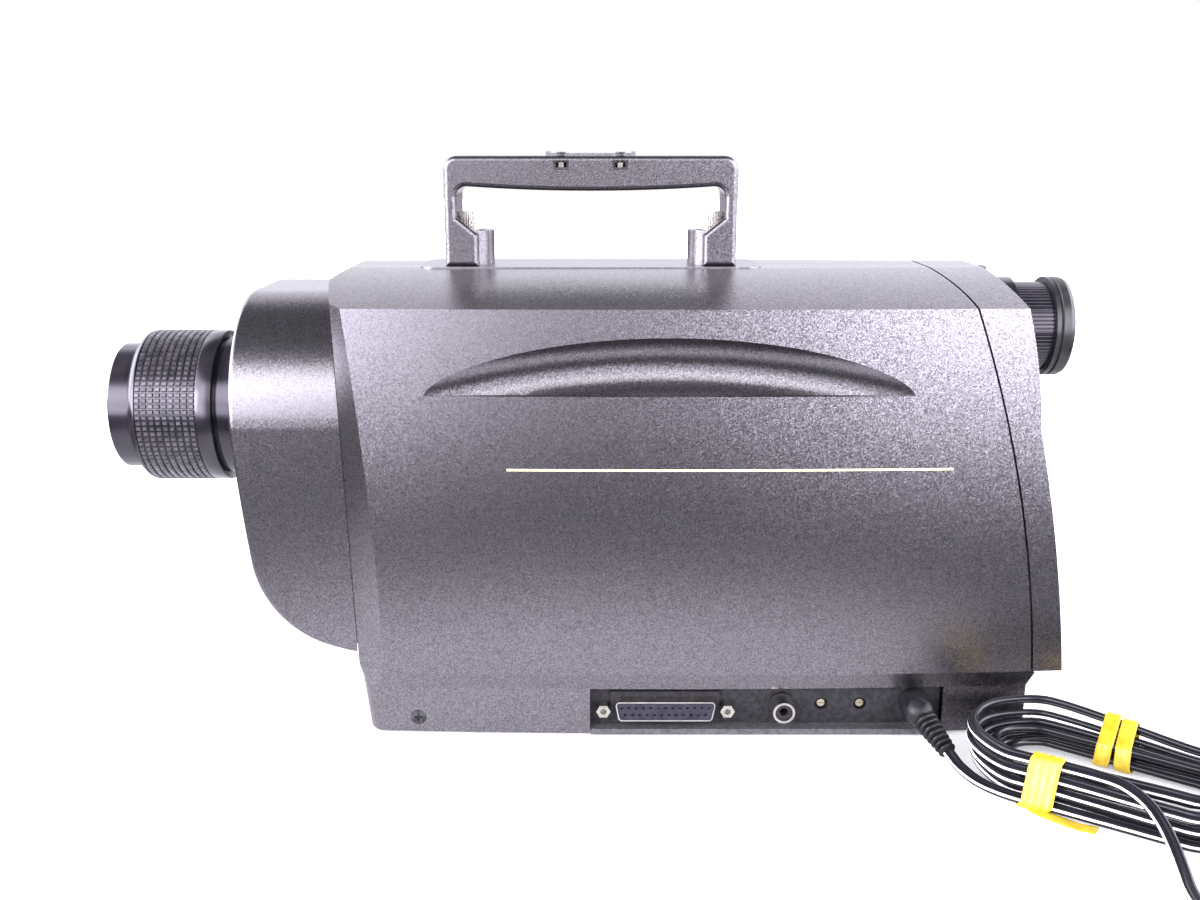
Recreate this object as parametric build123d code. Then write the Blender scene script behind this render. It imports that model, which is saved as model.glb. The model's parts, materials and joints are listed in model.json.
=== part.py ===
from build123d import *
import math
import os

# A bench spectroradiometer: an objective lens on a rounded nose, a bowed two-shell housing with a
# carrying handle, an eyepiece at the back and a connector bay low on the left side.
# The optical axis is X, the lens looks towards -X, and +Z is up.
# The origin lies on the table, under the middle of the instrument without its power cord.

os.makedirs("parts", exist_ok=True)

# Overall sizes
LENGTH = 381.2
BODY_WIDTH = 147.0
BODY_TOP_Z = 172.0
LENS_AXIS_Z = 114.2
EYE_AXIS_Z = 146.9

# General fits and walls
OVERRUN = 20.0
FAR = 400.0
WALL = 2.5
SEAM = 0.3
GAP_LINE = 0.8
RUN_CLEARANCE = 0.05
FIT_CLEARANCE = 0.1
SLIP_CLEARANCE = 0.25

# Cross-section of the housing, as half widths and heights
HALF_WIDTH = BODY_WIDTH / 2
CREASE_Y = 69.5
CREASE_Z = 163.0
SHOULDER_RISE = 1.2
SIDE_MID_Z = 85.0
SIDE_FOOT_Y = 72.5
SIDE_FOOT_Z = 26.0
SKIRT_Y = 70.5
SKIRT_TOP_Z = 19.5
SKIRT_BOTTOM_Z = 1.2
BOW_RADIUS = 2400.0
BOW_X = 30.0
BOW_ANGLE = 9.0

# Front end of the housing, in plan
FRONT_CENTRE_X = -100.0
FRONT_SIDE_X = -92.5
FRONT_SIDE_Y = 62.0
FRONT_LEAN = 4.0
FRONT_CENTRE_LEAN = 4.2
BEVEL_TOP_RUN = 17.6
BEVEL_FOOT_RUN = 23.5
BEVEL_OUT_Y = 80.0
FRONT_TOP_RADIUS = 8.0

# Front end of the skirt, in plan at its top
SKIRT_FRONT_X = -93.5
SKIRT_CORNER_X = -87.2
SKIRT_CORNER_Y = 60.0
SKIRT_ROUND_X = -85.2
SKIRT_ROUND_Y = 65.3
SKIRT_SIDE_X = -80.6
SKIRT_SIDE_Y = 68.8
SKIRT_LEAN_SHARE = 0.11
CHAMFER_BULGE = 0.4

# Rear seam and rear end, in side view
SEAM_TOP_X = 132.0
SEAM_SHOULDER_RUN = 2.5
SEAM_SHOULDER_DROP = 3.4
SEAM_CREASE_X = 136.3
SEAM_MID_X = 158.2
SEAM_MID_Z = 84.0
SEAM_FOOT_X = 166.3
LEDGE_X = 168.0
LEDGE_FOOT_X = 165.6
LEDGE_Z = 25.3
REAR_TOP_X = 153.6
REAR_CREASE_X = 155.0
REAR_UPPER_MID_X = 158.4
REAR_UPPER_MID_Z = 148.0
REAR_WAIST_X = 162.0
REAR_WAIST_Z = 119.0
REAR_LOWER_MID_X = 171.3
REAR_LOWER_MID_Z = 74.0
REAR_FOOT_X = 178.3
LIP_WALL = 1.5
LIP_LENGTH = 6.0

# Nose
LENS_LENGTH = 58.6
NOSE_TOP_Z = 163.7
NOSE_HALF_WIDTH = 62.0
NOSE_FOOT_HALF_WIDTH = 60.3
NOSE_CORNER = 45.0
NOSE_CHIN_Z = 118.0
NOSE_CHEEK_RUN = 1.5
NOSE_CHEEK_Z = 95.0
NOSE_JAW_RUN = 4.1
NOSE_JAW_Z = 68.0
NOSE_JAW_MID_RUN = 10.4
NOSE_JAW_MID_Z = 49.2
NOSE_BELLY_RUN = 27.9
NOSE_BELLY_Z = 34.0
NOSE_BELLY_MID_RUN = 40.0
NOSE_BELLY_MID_Z = 30.2
NOSE_BACK_RUN = 56.0
NOSE_BOTTOM_Z = 28.6
NOSE_EDGE = 2.0
NOSE_LIP = 4.0
NOSE_BOSS_RADIUS = 33.0
NOSE_BOSS_LENGTH = 7.0

# Scoop in each side
SCOOP_CENTRE_X = 28.25
SCOOP_HALF_LENGTH = 86.75
SCOOP_TOP_Z = 153.5
SCOOP_BOTTOM_Z = 132.4
SCOOP_DEPTH = 7.0
SCOOP_BACKING = 3.0

# Base, feet and tripod bush
BASE_BOTTOM_Z = 1.0
SILL_TOP_Z = 3.3
SILL_FRONT_Y = 71.0
FOOT_RADIUS = 9.0
FOOT_X = 62.0
FOOT_SHIFT_X = 30.0
FOOT_Y = 48.0
TRIPOD_RADIUS = 8.0
TRIPOD_FLANGE_RADIUS = 12.0
TRIPOD_FLANGE = 2.4
TRIPOD_HEIGHT = 15.0
TRIPOD_THREAD_RADIUS = 2.55
TRIPOD_THREAD_LENGTH = 10.0

# Side screws
SCREW_Z = 7.1
SCREW_FRONT_X = -65.6
SCREW_REAR_X = 152.0
SCREW_HEAD_RADIUS = 2.9
SCREW_SHANK_RADIUS = 1.5
SCREW_SHANK_LENGTH = 8.0
SCREW_SLOT_WIDTH = 0.8
SCREW_SLOT_LENGTH = 3.2
SCREW_SLOT_DEPTH = 1.0
TAB_WIDTH = 10.0
TAB_DEPTH = 9.0
TAB_HEIGHT = 10.0

# Connector bay and panel
BAY_START_X = -0.2
BAY_END_X = 134.0
PANEL_Y = 65.5
PANEL_THICKNESS = 1.5
PANEL_OVERLAP = 2.0
PANEL_TOP_Z = 22.0

# D-sub connector with 25 contacts
DSUB_X = 28.4
DSUB_Z = 10.55
DSUB_SCREW_SPACING = 47.04
DSUB_SHELL_WIDTH = 38.3
DSUB_SHELL_HEIGHT = 7.9
DSUB_SHELL_SLANT = 1.4
DSUB_SHELL_CORNER = 1.6
DSUB_SHELL_WALL = 0.5
DSUB_REACH = 5.8
DSUB_FACE_DROP = 0.3
DSUB_BEZEL_WIDTH = 41.5
DSUB_BEZEL_HEIGHT = 12.5
DSUB_BEZEL_THICKNESS = 1.2
DSUB_BODY_DEPTH = 8.0
DSUB_PITCH = 2.77
DSUB_ROW_PITCH = 2.84
DSUB_TOP_COUNT = 13
DSUB_CONTACT_RADIUS = 0.55
DSUB_CONTACT_DEPTH = 4.5
JACKSCREW_RADIUS = 2.75
JACKSCREW_REACH = 5.7
JACKSCREW_BORE_RADIUS = 1.15
JACKSCREW_BORE_DEPTH = 5.0
JACKSCREW_TAIL_RADIUS = 1.4
JACKSCREW_TAIL = 6.0

# Phono jack
PHONO_X = 73.0
PHONO_Z = 11.05
PHONO_RADIUS = 4.15
PHONO_THREAD_RADIUS = 3.9
PHONO_WALL = 0.9
PHONO_REACH = 8.0
PHONO_FACE_DROP = 1.0
PHONO_SOCKET_RADIUS = 1.6
PHONO_SOCKET_DEPTH = 8.0
PHONO_RING_RADIUS = 4.9
PHONO_RING = 1.2
PHONO_TAIL = 7.0

# Trimmers behind the panel
TRIMMER_X = 88.3
TRIMMER_SPACING = 14.8
TRIMMER_Z = 11.2
TRIMMER_HOLE_RADIUS = 2.5
TRIMMER_SCREW_RADIUS = 1.5
TRIMMER_SCREW_LENGTH = 4.0
TRIMMER_SCREW_DROP = 0.8
TRIMMER_SLOT_WIDTH = 0.5
TRIMMER_SLOT_DEPTH = 0.7
TRIMMER_BODY = 7.0
TRIMMER_BODY_DEPTH = 5.0
TRIMMER_BODY_GAP = 1.0

# Power jack and plug
JACK_X = 123.2
JACK_Z = 12.5
JACK_BODY_WIDTH = 10.0
JACK_BODY_HEIGHT = 11.0
JACK_BODY_DEPTH = 14.0
JACK_RIM_RADIUS = 5.0
JACK_BORE_RADIUS = 2.75
JACK_BORE_DEPTH = 10.0
JACK_PIN_RADIUS = 1.0
PLUG_BARREL_RADIUS = 2.65
PLUG_BARREL_BORE_RADIUS = 1.15
PLUG_BARREL_LENGTH = 9.0
PLUG_RADIUS = 5.6
PLUG_LENGTH = 9.0
PLUG_STAND_OFF = 0.4
RELIEF_LENGTH = 15.0
RELIEF_START_RADIUS = 4.6
RELIEF_END_RADIUS = 3.4
RELIEF_GROOVE = 0.8
RELIEF_RIBS = 6
RELIEF_RIB_SHARE = 0.6
RELIEF_TURN = 18.7
RELIEF_DROOP = 18.0

# Handle
HANDLE_HALF_LENGTH = 56.9
HANDLE_WIDTH = 26.0
HANDLE_TOP_Z = 214.4
HANDLE_CORNER = 5.0
HANDLE_EDGE = 1.8
HANDLE_LEG = 4.7
HANDLE_GRIP_MID_Z = 201.2
HANDLE_GRIP_END_Z = 203.2
HANDLE_INNER_CORNER = 4.0
HANDLE_FOOT_LENGTH = 12.9
HANDLE_FOOT_Z = 184.5
HANDLE_SLOPE_Z = 191.0
HANDLE_PLATE_LENGTH = 133.0
HANDLE_PLATE_WIDTH = 34.0
HANDLE_PLATE_THICKNESS = 1.2
HANDLE_PLATE_CORNER = 5.0
HANDLE_PLATE_PROUD = 0.4
BOSS_X = 46.9
BOSS_RADIUS = 8.2
BOSS_TOP_Z = 185.6
POCKET_HALF_WIDTH = 9.0
THUMB_RADIUS = 4.9
THUMB_HEIGHT = 7.0
THUMB_LIFT = 0.4
THUMB_SHANK_RADIUS = 2.5
THUMB_SHANK_LENGTH = 28.0
THUMB_CROSS_RADIUS = 0.9
THUMB_CROSS_Z = 2.4
THUMB_KNURLS = 36
THUMB_KNURL_RADIUS = 0.3
WINDOW_X = 11.4
WINDOW_Z = 211.0
WINDOW_WIDTH = 6.0
WINDOW_HEIGHT = 3.6
WINDOW_DEPTH = 5.0
NUT_RADIUS = 1.9
NUT_HEIGHT = 1.8
TOP_PLATE_LENGTH = 34.6
TOP_PLATE_WIDTH = 20.0
TOP_PLATE_THICKNESS = 1.0
TOP_PLATE_LIP = 0.6
TOP_PLATE_LIP_WIDTH = 1.2
TOP_SCREW_HEAD_RADIUS = 1.8
TOP_SCREW_HEAD = 0.5
TOP_SCREW_RADIUS = 0.9
ANCHOR_WIDTH = 24.0
ANCHOR_HEIGHT = 10.0
ANCHOR_MARGIN = 9.0

# Objective lens
FRONT_RING_RADIUS = 25.4
FRONT_BARREL_BODY_RADIUS = 25.0
FRONT_RING_LENGTH = 8.4
FRONT_BARREL_LENGTH = 28.6
FILTER_THREAD_RADIUS = 24.25
FILTER_THREAD_LENGTH = 4.0
FRONT_LENS_RADIUS = 21.0
FRONT_LENS_THICKNESS = 6.0
FRONT_LENS_DROP = 7.4
FRONT_LENS_SAG = 2.2
BARREL_OUTER_RADIUS = 27.0
FOCUS_RING_RADIUS = 30.6
FOCUS_FRONT_RADIUS = 27.6
FOCUS_FRONT_BORE_RADIUS = 25.8
FOCUS_SHOULDER = 3.6
FOCUS_LENGTH = 33.8
FOCUS_LIP = 2.0
FOCUS_SMOOTH = 6.0
FOCUS_GROOVE = 0.7
FOCUS_GROOVE_DEPTH = 0.5
FOCUS_COLUMNS = 9
BARREL_GROOVE = 1.5
BARREL_RING_ONE = 2.6
BARREL_RING_ONE_RADIUS = 28.4
BARREL_RING_TWO_RADIUS = 29.2
MOUNT_RADIUS = 24.0
MOUNT_LENGTH = 11.6
LOCK_RING_RADIUS = 30.0
LOCK_RING_LENGTH = 4.0
REAR_LENS_RADIUS = 19.0
REAR_LENS_THICKNESS = 8.0
REAR_LENS_SAG = 1.8

# Eyepiece
BULKHEAD_X = 119.0
BULKHEAD_THICKNESS = 3.0
EYE_COLLAR_RADIUS = 20.0
EYE_COLLAR_END_X = 168.3
EYE_TUBE_RADIUS = 14.0
EYE_TUBE_BORE_RADIUS = 12.5
EYE_TUBE_END_X = 185.4
EYE_FLANGE = 3.0
DIOPTRE_RADIUS = 17.8
DIOPTRE_START_X = 158.0
DIOPTRE_END_X = 185.0
DIOPTRE_KNURLS = 72
DIOPTRE_KNURL_RADIUS = 0.35
EYECUP_RADIUS = 19.9
EYECUP_START_X = 182.7
EYECUP_FLANGE = 1.6
EYECUP_GROOVE = 1.2
EYECUP_GROOVE_DEPTH = 0.7
EYECUP_NOSE_RADIUS = 2.2
EYECUP_BORE_RADIUS = 11.0
EYECUP_LAND = 2.0
EYE_LENS_THICKNESS = 5.0
EYE_LENS_SAG = 1.2
EYE_LENS_DROP = 1.5

# Field selector
SELECTOR_Y = 34.0
SELECTOR_Z = 157.0
SELECTOR_RADIUS = 11.0
SELECTOR_START_X = 159.3
SELECTOR_LENGTH = 9.3
SELECTOR_SCALLOPS = 12
SELECTOR_SCALLOP_RADIUS = 1.6
SELECTOR_SHAFT_RADIUS = 3.0
SELECTOR_SHAFT_LENGTH = 36.0
SELECTOR_MARK = 0.8

# Internals
BENCH_START_X = -84.0
BENCH_END_X = 112.0
BENCH_HALF_WIDTH = 46.0
BENCH_Z = 62.0
BENCH_THICKNESS = 6.0
POST_RADIUS = 5.0
POST_INSET = 12.0
MIRROR_X = -18.0
MIRROR_RADIUS = 16.0
MIRROR_THICKNESS = 3.0
MIRROR_TILT = 30.0
MIRROR_MOUNT_LENGTH = 14.0
MIRROR_MOUNT_WIDTH = 18.0
SLIT_X = 26.0
SLIT_HEIGHT = 44.0
SLIT_WIDTH = 36.0
SLIT_THICKNESS = 2.0
SLIT_GAP = 0.3
SLIT_LENGTH = 8.0
GRATING_X = 92.0
GRATING_Y = 18.0
GRATING_SIZE = 30.0
GRATING_THICKNESS = 8.0
GRATING_TURN = 24.0
COLLIMATOR_X = 92.0
COLLIMATOR_Y = -20.0
COLLIMATOR_RADIUS = 15.0
COLLIMATOR_THICKNESS = 6.0
SENSOR_X = 48.0
SENSOR_Y = 34.0
SENSOR_WIDTH = 32.0
SENSOR_HEIGHT = 12.0
SENSOR_THICKNESS = 4.0
SENSOR_BOARD_WIDTH = 44.0
SENSOR_BOARD_HEIGHT = 46.0
SENSOR_BOARD_THICKNESS = 1.6
BOARD_Z = 32.0
BOARD_THICKNESS = 1.6
BOARD_START_X = -70.0
BOARD_END_X = 112.0
BOARD_HALF_WIDTH = 46.0
STANDOFF_RADIUS = 3.0
STANDOFF_INSET = 6.0

# Power cord, its hank and its ties
CORD_DIAMETER = 4.2
HANK_CENTRE_X = 183.0
HANK_CENTRE_Y = -110.0
HANK_TURN = -33.0
HANK_RUN = 44.0
HANK_WIDTH = 54.0
HANK_STEP = 4.7
HANK_LAYER = 4.7
HANK_FLOOR_Z = 2.9
HANK_LAST_RUN = 20.0
LEAD_FIRST_RUN = 7.5
LEAD_LAST_RUN = 9.0
HANK_HALF_TURN_COUNT = 8
TIE_THICKNESS = 0.4
TIE_CLEARANCE = 0.3
TIE_WIDTH = 5.6
TIE_NEAR_X = -19.0
TIE_FAR_X = -6.0
TIE_FAR_SPACING = 6.2
TIE_CORNER = 1.6
CONNECTOR_RADIUS = 4.6
CONNECTOR_LENGTH = 28.0
CONNECTOR_NECK_RADIUS = 3.2
CONNECTOR_NECK_LENGTH = 6.0

FRONT_X = -LENGTH / 2
REAR_X = LENGTH / 2
NOSE_FRONT_X = FRONT_X + LENS_LENGTH


def save(shape, name):
    """Write one piece under its node name."""
    export_step(shape, f"parts/{name}.step")


def box_between(low, high):
    """A box from its lowest and its highest corner."""
    size = [high[i] - low[i] for i in range(3)]
    centre = [(high[i] + low[i]) / 2 for i in range(3)]
    return Pos(*centre) * Box(*size)


def rod_x(start, end, radius, y=0, z=0):
    """A cylinder along X between two X values."""
    return Pos((start + end) / 2, y, z) * Rot(0, 90, 0) * Cylinder(radius, end - start)


def rod_y(start, end, radius, x=0, z=0):
    """A cylinder along Y between two Y values."""
    return Pos(x, (start + end) / 2, z) * Rot(90, 0, 0) * Cylinder(radius, end - start)


def rod_z(start, end, radius, x=0, y=0):
    """A cylinder along Z between two heights."""
    return Pos(x, y, (start + end) / 2) * Cylinder(radius, end - start)


def turned_x(outline, z, y=0):
    """A piece turned about an axis along X, from points of X and radius."""
    points = [(x, y, z + radius) for x, radius in outline]
    profile = make_face([Polyline(*points, close=True)])
    return revolve(profile, Axis((0, y, z), (1, 0, 0)), 360)


def face_of(edges):
    """A flat face inside a closed chain of edges."""
    return Face(Wire(edges))


def chain(points):
    """Straight edges from point to point."""
    return [Line(a, b) for a, b in zip(points, points[1:])]


def bow(x):
    """How far the bowed side draws in at a place along X."""
    return BOW_RADIUS - math.sqrt(BOW_RADIUS ** 2 - (x - BOW_X) ** 2)


def half_section(inset, bottom_z):
    """The left half of the housing's cross-section, drawn in by an inset."""
    top = BODY_TOP_Z - inset
    flat_y = -HANDLE_PLATE_WIDTH / 2
    crease_y = inset - CREASE_Y
    crease_z = CREASE_Z - inset
    foot_y = inset - SIDE_FOOT_Y
    skirt_y = inset - SKIRT_Y
    x = BOW_X
    shoulder = (x, (flat_y + crease_y) / 2, (top + crease_z) / 2 + SHOULDER_RISE)
    edges = [
        ThreePointArc((x, flat_y, top), shoulder, (x, crease_y, crease_z)),
        ThreePointArc((x, crease_y, crease_z), (x, inset - HALF_WIDTH, SIDE_MID_Z), (x, foot_y, SIDE_FOOT_Z)),
    ]
    edges += chain([(x, foot_y, SIDE_FOOT_Z), (x, skirt_y, SKIRT_TOP_Z), (x, skirt_y, bottom_z),
                    (x, OVERRUN, bottom_z), (x, OVERRUN, top), (x, flat_y, top)])
    return face_of(edges)


def half_body(inset, bottom_z):
    """The left half of the housing as a bowed solid, cut at the middle plane."""
    axis = Axis((BOW_X, BOW_RADIUS - HALF_WIDTH, 0), (0, 0, 1))
    start = half_section(inset, bottom_z).rotate(axis, -BOW_ANGLE / 2)
    solid = revolve(start, axis, BOW_ANGLE)
    return solid & box_between((-FAR, -FAR, -FAR), (FAR, 0, FAR))


def whole_body(inset, bottom_z):
    """Both halves of the bowed solid in one."""
    half = half_body(inset, bottom_z)
    return half + mirror(half, about=Plane.XZ)


def plan_solid(shift):
    """The block behind the housing's front, with its bowed front face and two bevels."""
    faces = []
    for z in (BODY_TOP_Z + OVERRUN, -OVERRUN):
        share = (CREASE_Z - z) / (CREASE_Z - SIDE_FOOT_Z)
        lean = FRONT_LEAN * share + shift
        run = BEVEL_TOP_RUN + (BEVEL_FOOT_RUN - BEVEL_TOP_RUN) * share
        side_x = FRONT_SIDE_X + lean
        left = (side_x, -FRONT_SIDE_Y, z)
        right = (side_x, FRONT_SIDE_Y, z)
        left_out = (side_x + run, -BEVEL_OUT_Y, z)
        right_out = (side_x + run, BEVEL_OUT_Y, z)
        centre_x = FRONT_CENTRE_X + FRONT_CENTRE_LEAN * share + shift
        front = ThreePointArc(left, (centre_x, 0, z), right)
        back = [right, right_out, (FAR, BEVEL_OUT_Y, z), (FAR, -BEVEL_OUT_Y, z), left_out, left]
        faces.append(face_of([front] + chain(back)))
    return loft(faces, ruled=True)


def front_outline(centre_x, corner, middle, side, z):
    """A bowed front with rounded corners in plan, closed far behind it."""
    left = [(x, -y, z) for x, y in (corner, middle, side)]
    right = [(x, y, z) for x, y in (corner, middle, side)]
    edges = [ThreePointArc(left[0], (centre_x, 0, z), right[0]), ThreePointArc(*right)]
    edges += chain([right[2], (right[2][0], BEVEL_OUT_Y, z), (FAR, BEVEL_OUT_Y, z), (FAR, -BEVEL_OUT_Y, z),
                    (left[2][0], -BEVEL_OUT_Y, z), left[2]])
    edges.append(ThreePointArc(left[2], left[1], left[0]))
    return face_of(edges)


def skirt_solid(shift):
    """The block behind the front of the skirt and of the chamfer over it."""
    foot_x = FRONT_SIDE_X + FRONT_LEAN + shift
    side_y = SIDE_FOOT_Y - bow(FRONT_SIDE_X) - FRONT_SIDE_Y
    foot_out_x = foot_x + BEVEL_FOOT_RUN * side_y / (BEVEL_OUT_Y - FRONT_SIDE_Y)
    foot_out_y = SIDE_FOOT_Y - bow(FRONT_SIDE_X)
    middle = ((foot_x + foot_out_x) / 2 - CHAMFER_BULGE, (FRONT_SIDE_Y + foot_out_y) / 2)
    centre_x = FRONT_CENTRE_X + FRONT_CENTRE_LEAN + shift
    faces = [front_outline(centre_x, (foot_x, FRONT_SIDE_Y), middle, (foot_out_x, foot_out_y), SIDE_FOOT_Z)]
    for z in (SKIRT_TOP_Z, -OVERRUN):
        lean = (SKIRT_TOP_Z - z) * SKIRT_LEAN_SHARE + shift
        faces.append(front_outline(SKIRT_FRONT_X + lean, (SKIRT_CORNER_X + lean, SKIRT_CORNER_Y),
                                    (SKIRT_ROUND_X + lean, SKIRT_ROUND_Y),
                                    (SKIRT_SIDE_X + lean, SKIRT_SIDE_Y), z))
    return loft(faces, ruled=True)


def front_solid(shift):
    """The block behind the whole front of the housing."""
    upper = plan_solid(shift) & box_between((-FAR, -FAR, SIDE_FOOT_Z), (FAR, FAR, FAR))
    return upper + skirt_solid(shift)


def side_solid(edges):
    """A side view pushed through the whole width."""
    return extrude(face_of(edges), amount=FAR, dir=(0, 1, 0), both=True)


def seam_edges(offset):
    """The rear seam line in side view, from its top down to its foot."""
    rise = BODY_TOP_Z - CREASE_Z
    high = (SEAM_TOP_X + offset - rise, 0, BODY_TOP_Z + rise)
    top = (SEAM_TOP_X + offset, 0, BODY_TOP_Z)
    shoulder = (SEAM_TOP_X + SEAM_SHOULDER_RUN + offset, 0, BODY_TOP_Z - SEAM_SHOULDER_DROP)
    crease = (SEAM_CREASE_X + offset, 0, CREASE_Z)
    middle = (SEAM_MID_X + offset, 0, SEAM_MID_Z)
    foot = (SEAM_FOOT_X + offset, 0, SIDE_FOOT_Z)
    edges = [Line(high, top), ThreePointArc(top, shoulder, crease), ThreePointArc(crease, middle, foot)]
    return edges, high, foot


def main_side():
    """Side view of the two main covers."""
    seam, high, foot = seam_edges(0)
    front = FRONT_CENTRE_X - FRONT_CENTRE_LEAN * (BODY_TOP_Z - CREASE_Z) / (CREASE_Z - SIDE_FOOT_Z)
    turn = FRONT_TOP_RADIUS * math.sqrt(2) / 2
    centre_x = front + FRONT_TOP_RADIUS
    centre_z = BODY_TOP_Z - FRONT_TOP_RADIUS
    low_front = (front, 0, centre_z)
    high_front = (centre_x, 0, BODY_TOP_Z)
    middle = (centre_x - turn, 0, centre_z + turn)
    edges = [Line((front, 0, -OVERRUN), low_front), ThreePointArc(low_front, middle, high_front)]
    edges += chain([high_front, (centre_x, 0, high[2]), high])
    edges += seam
    edges += chain([foot, (SEAM_FOOT_X, 0, LEDGE_Z), (LEDGE_X, 0, LEDGE_Z), (LEDGE_FOOT_X, 0, SKIRT_TOP_Z),
                    (LEDGE_FOOT_X, 0, -OVERRUN), (front, 0, -OVERRUN)])
    return side_solid(edges)


def main_void_side():
    """Side view of the space in the main covers, which is open towards the rear."""
    inner_x = LEDGE_FOOT_X - WALL
    edges = chain([(-FAR, 0, -FAR), (inner_x, 0, -FAR), (inner_x, 0, LEDGE_Z), (FAR, 0, LEDGE_Z),
                   (FAR, 0, FAR), (-FAR, 0, FAR), (-FAR, 0, -FAR)])
    return side_solid(edges)


def side_arc():
    """The arc of the left side face in the cross-section at the middle of the bow."""
    x = BOW_X
    crease = (x, -CREASE_Y, CREASE_Z)
    return ThreePointArc(crease, (x, -HALF_WIDTH, SIDE_MID_Z), (x, -SIDE_FOOT_Y, SIDE_FOOT_Z))


def side_y(x, z):
    """How far to the left the side face lies at a place."""
    arc = side_arc()
    centre = arc.arc_center
    return centre.Y - math.sqrt(arc.radius ** 2 - (z - centre.Z) ** 2) + bow(x)


def scoop(grow):
    """The cutter of the long finger scoop: a round bar bent along the arch, cut off flat at the bottom."""
    rise = SCOOP_TOP_Z - SCOOP_BOTTOM_Z
    radius = ((rise / 2) ** 2 + SCOOP_DEPTH ** 2) / (2 * SCOOP_DEPTH)
    middle_z = (SCOOP_TOP_Z + SCOOP_BOTTOM_Z) / 2
    middle = (SCOOP_CENTRE_X, side_y(SCOOP_CENTRE_X, middle_z) + SCOOP_DEPTH - radius, middle_z)
    front_x = SCOOP_CENTRE_X - SCOOP_HALF_LENGTH
    rear_x = SCOOP_CENTRE_X + SCOOP_HALF_LENGTH
    front = (front_x, side_y(front_x, SCOOP_BOTTOM_Z) - radius, SCOOP_BOTTOM_Z)
    rear = (rear_x, side_y(rear_x, SCOOP_BOTTOM_Z) - radius, SCOOP_BOTTOM_Z)
    path = ThreePointArc(front, middle, rear)
    start = Plane(origin=path @ 0, z_dir=path % 0)
    bar = sweep(start * Circle(radius + grow), path=path)
    return bar & box_between((-FAR, -FAR, SCOOP_BOTTOM_Z - grow), (FAR, 0, FAR))


def nose_section(inset, start_x, end_x):
    """The nose's cross-section as a bar along X: a flat top, round shoulders and sides that lean in."""
    top = NOSE_TOP_Z - inset
    foot = NOSE_BOTTOM_Z - OVERRUN
    wide = NOSE_HALF_WIDTH - inset
    narrow = NOSE_FOOT_HALF_WIDTH - inset
    outline = Polyline((-wide, top), (-wide, NOSE_CHIN_Z), (-narrow, NOSE_BOTTOM_Z), (-narrow, foot),
                       (narrow, foot), (narrow, NOSE_BOTTOM_Z), (wide, NOSE_CHIN_Z), (wide, top), close=True)
    face = make_face([outline])
    corners = face.vertices().sort_by(Axis.Y)[-2:]
    rounded = fillet(corners, NOSE_CORNER - inset)
    return Pos(start_x, 0, 0) * extrude(Plane.YZ * rounded, end_x - start_x)


def nose_side(inset):
    """The nose in side view: a flat face and a long swept chin."""
    front = NOSE_FRONT_X + inset
    chin = (front, 0, NOSE_CHIN_Z)
    cheek = (front + NOSE_CHEEK_RUN, 0, NOSE_CHEEK_Z)
    jaw = (front + NOSE_JAW_RUN, 0, NOSE_JAW_Z)
    jaw_mid = (front + NOSE_JAW_MID_RUN, 0, NOSE_JAW_MID_Z + inset)
    belly = (front + NOSE_BELLY_RUN, 0, NOSE_BELLY_Z + inset)
    belly_mid = (front + NOSE_BELLY_MID_RUN, 0, NOSE_BELLY_MID_Z + inset)
    back = (front + NOSE_BACK_RUN, 0, NOSE_BOTTOM_Z + inset)
    edges = [ThreePointArc(chin, cheek, jaw), ThreePointArc(jaw, jaw_mid, belly),
             ThreePointArc(belly, belly_mid, back)]
    roof = NOSE_TOP_Z + OVERRUN
    edges += chain([back, (0, 0, back[2]), (0, 0, roof), (front, 0, roof), chin])
    return side_solid(edges)


def nose_body(inset):
    """The nose as the overlap of its two views."""
    return nose_section(inset, NOSE_FRONT_X, 0) & nose_side(inset)


def make_covers(body_front):
    """The left and the right main cover, with a seam between them on top."""
    outer = half_body(0, SKIRT_BOTTOM_Z) & main_side() & body_front
    outer -= scoop(0)
    void = half_body(WALL, -OVERRUN) & main_void_side() & front_solid(WALL)
    void -= scoop(SCOOP_BACKING)
    shell = outer - void
    shell -= box_between((-FAR, -SEAM / 2, -FAR), (FAR, FAR, FAR))
    socket = nose_body(WALL - SLIP_CLEARANCE)
    shell -= socket & box_between((FRONT_CENTRE_X - OVERRUN, -FAR, -FAR), (FRONT_SIDE_X + OVERRUN, FAR, FAR))
    for x in (SCREW_FRONT_X, SCREW_REAR_X):
        shell -= rod_y(-HALF_WIDTH, -FRONT_SIDE_Y, SCREW_HEAD_RADIUS + FIT_CLEARANCE, x, SCREW_Z)
    for x in (-BOSS_X, BOSS_X):
        shell -= rod_z(BODY_TOP_Z - 2 * WALL, BODY_TOP_Z + OVERRUN, THUMB_SHANK_RADIUS + SLIP_CLEARANCE, x)
    seat_z = BODY_TOP_Z + HANDLE_PLATE_PROUD - HANDLE_PLATE_THICKNESS
    seat = handle_plate_outline(SLIP_CLEARANCE)
    shell -= Pos(0, 0, seat_z) * extrude(seat, OVERRUN)
    bay = box_between((BAY_START_X, -FAR, -OVERRUN), (BAY_END_X, -FRONT_SIDE_Y, SKIRT_TOP_Z))
    return shell - bay, mirror(shell, about=Plane.XZ)


def handle_plate_outline(grow):
    """The long plate under the handle, seen from above."""
    return RectangleRounded(HANDLE_PLATE_LENGTH + 2 * grow, HANDLE_PLATE_WIDTH + 2 * grow,
                            HANDLE_PLATE_CORNER + grow)


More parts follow.
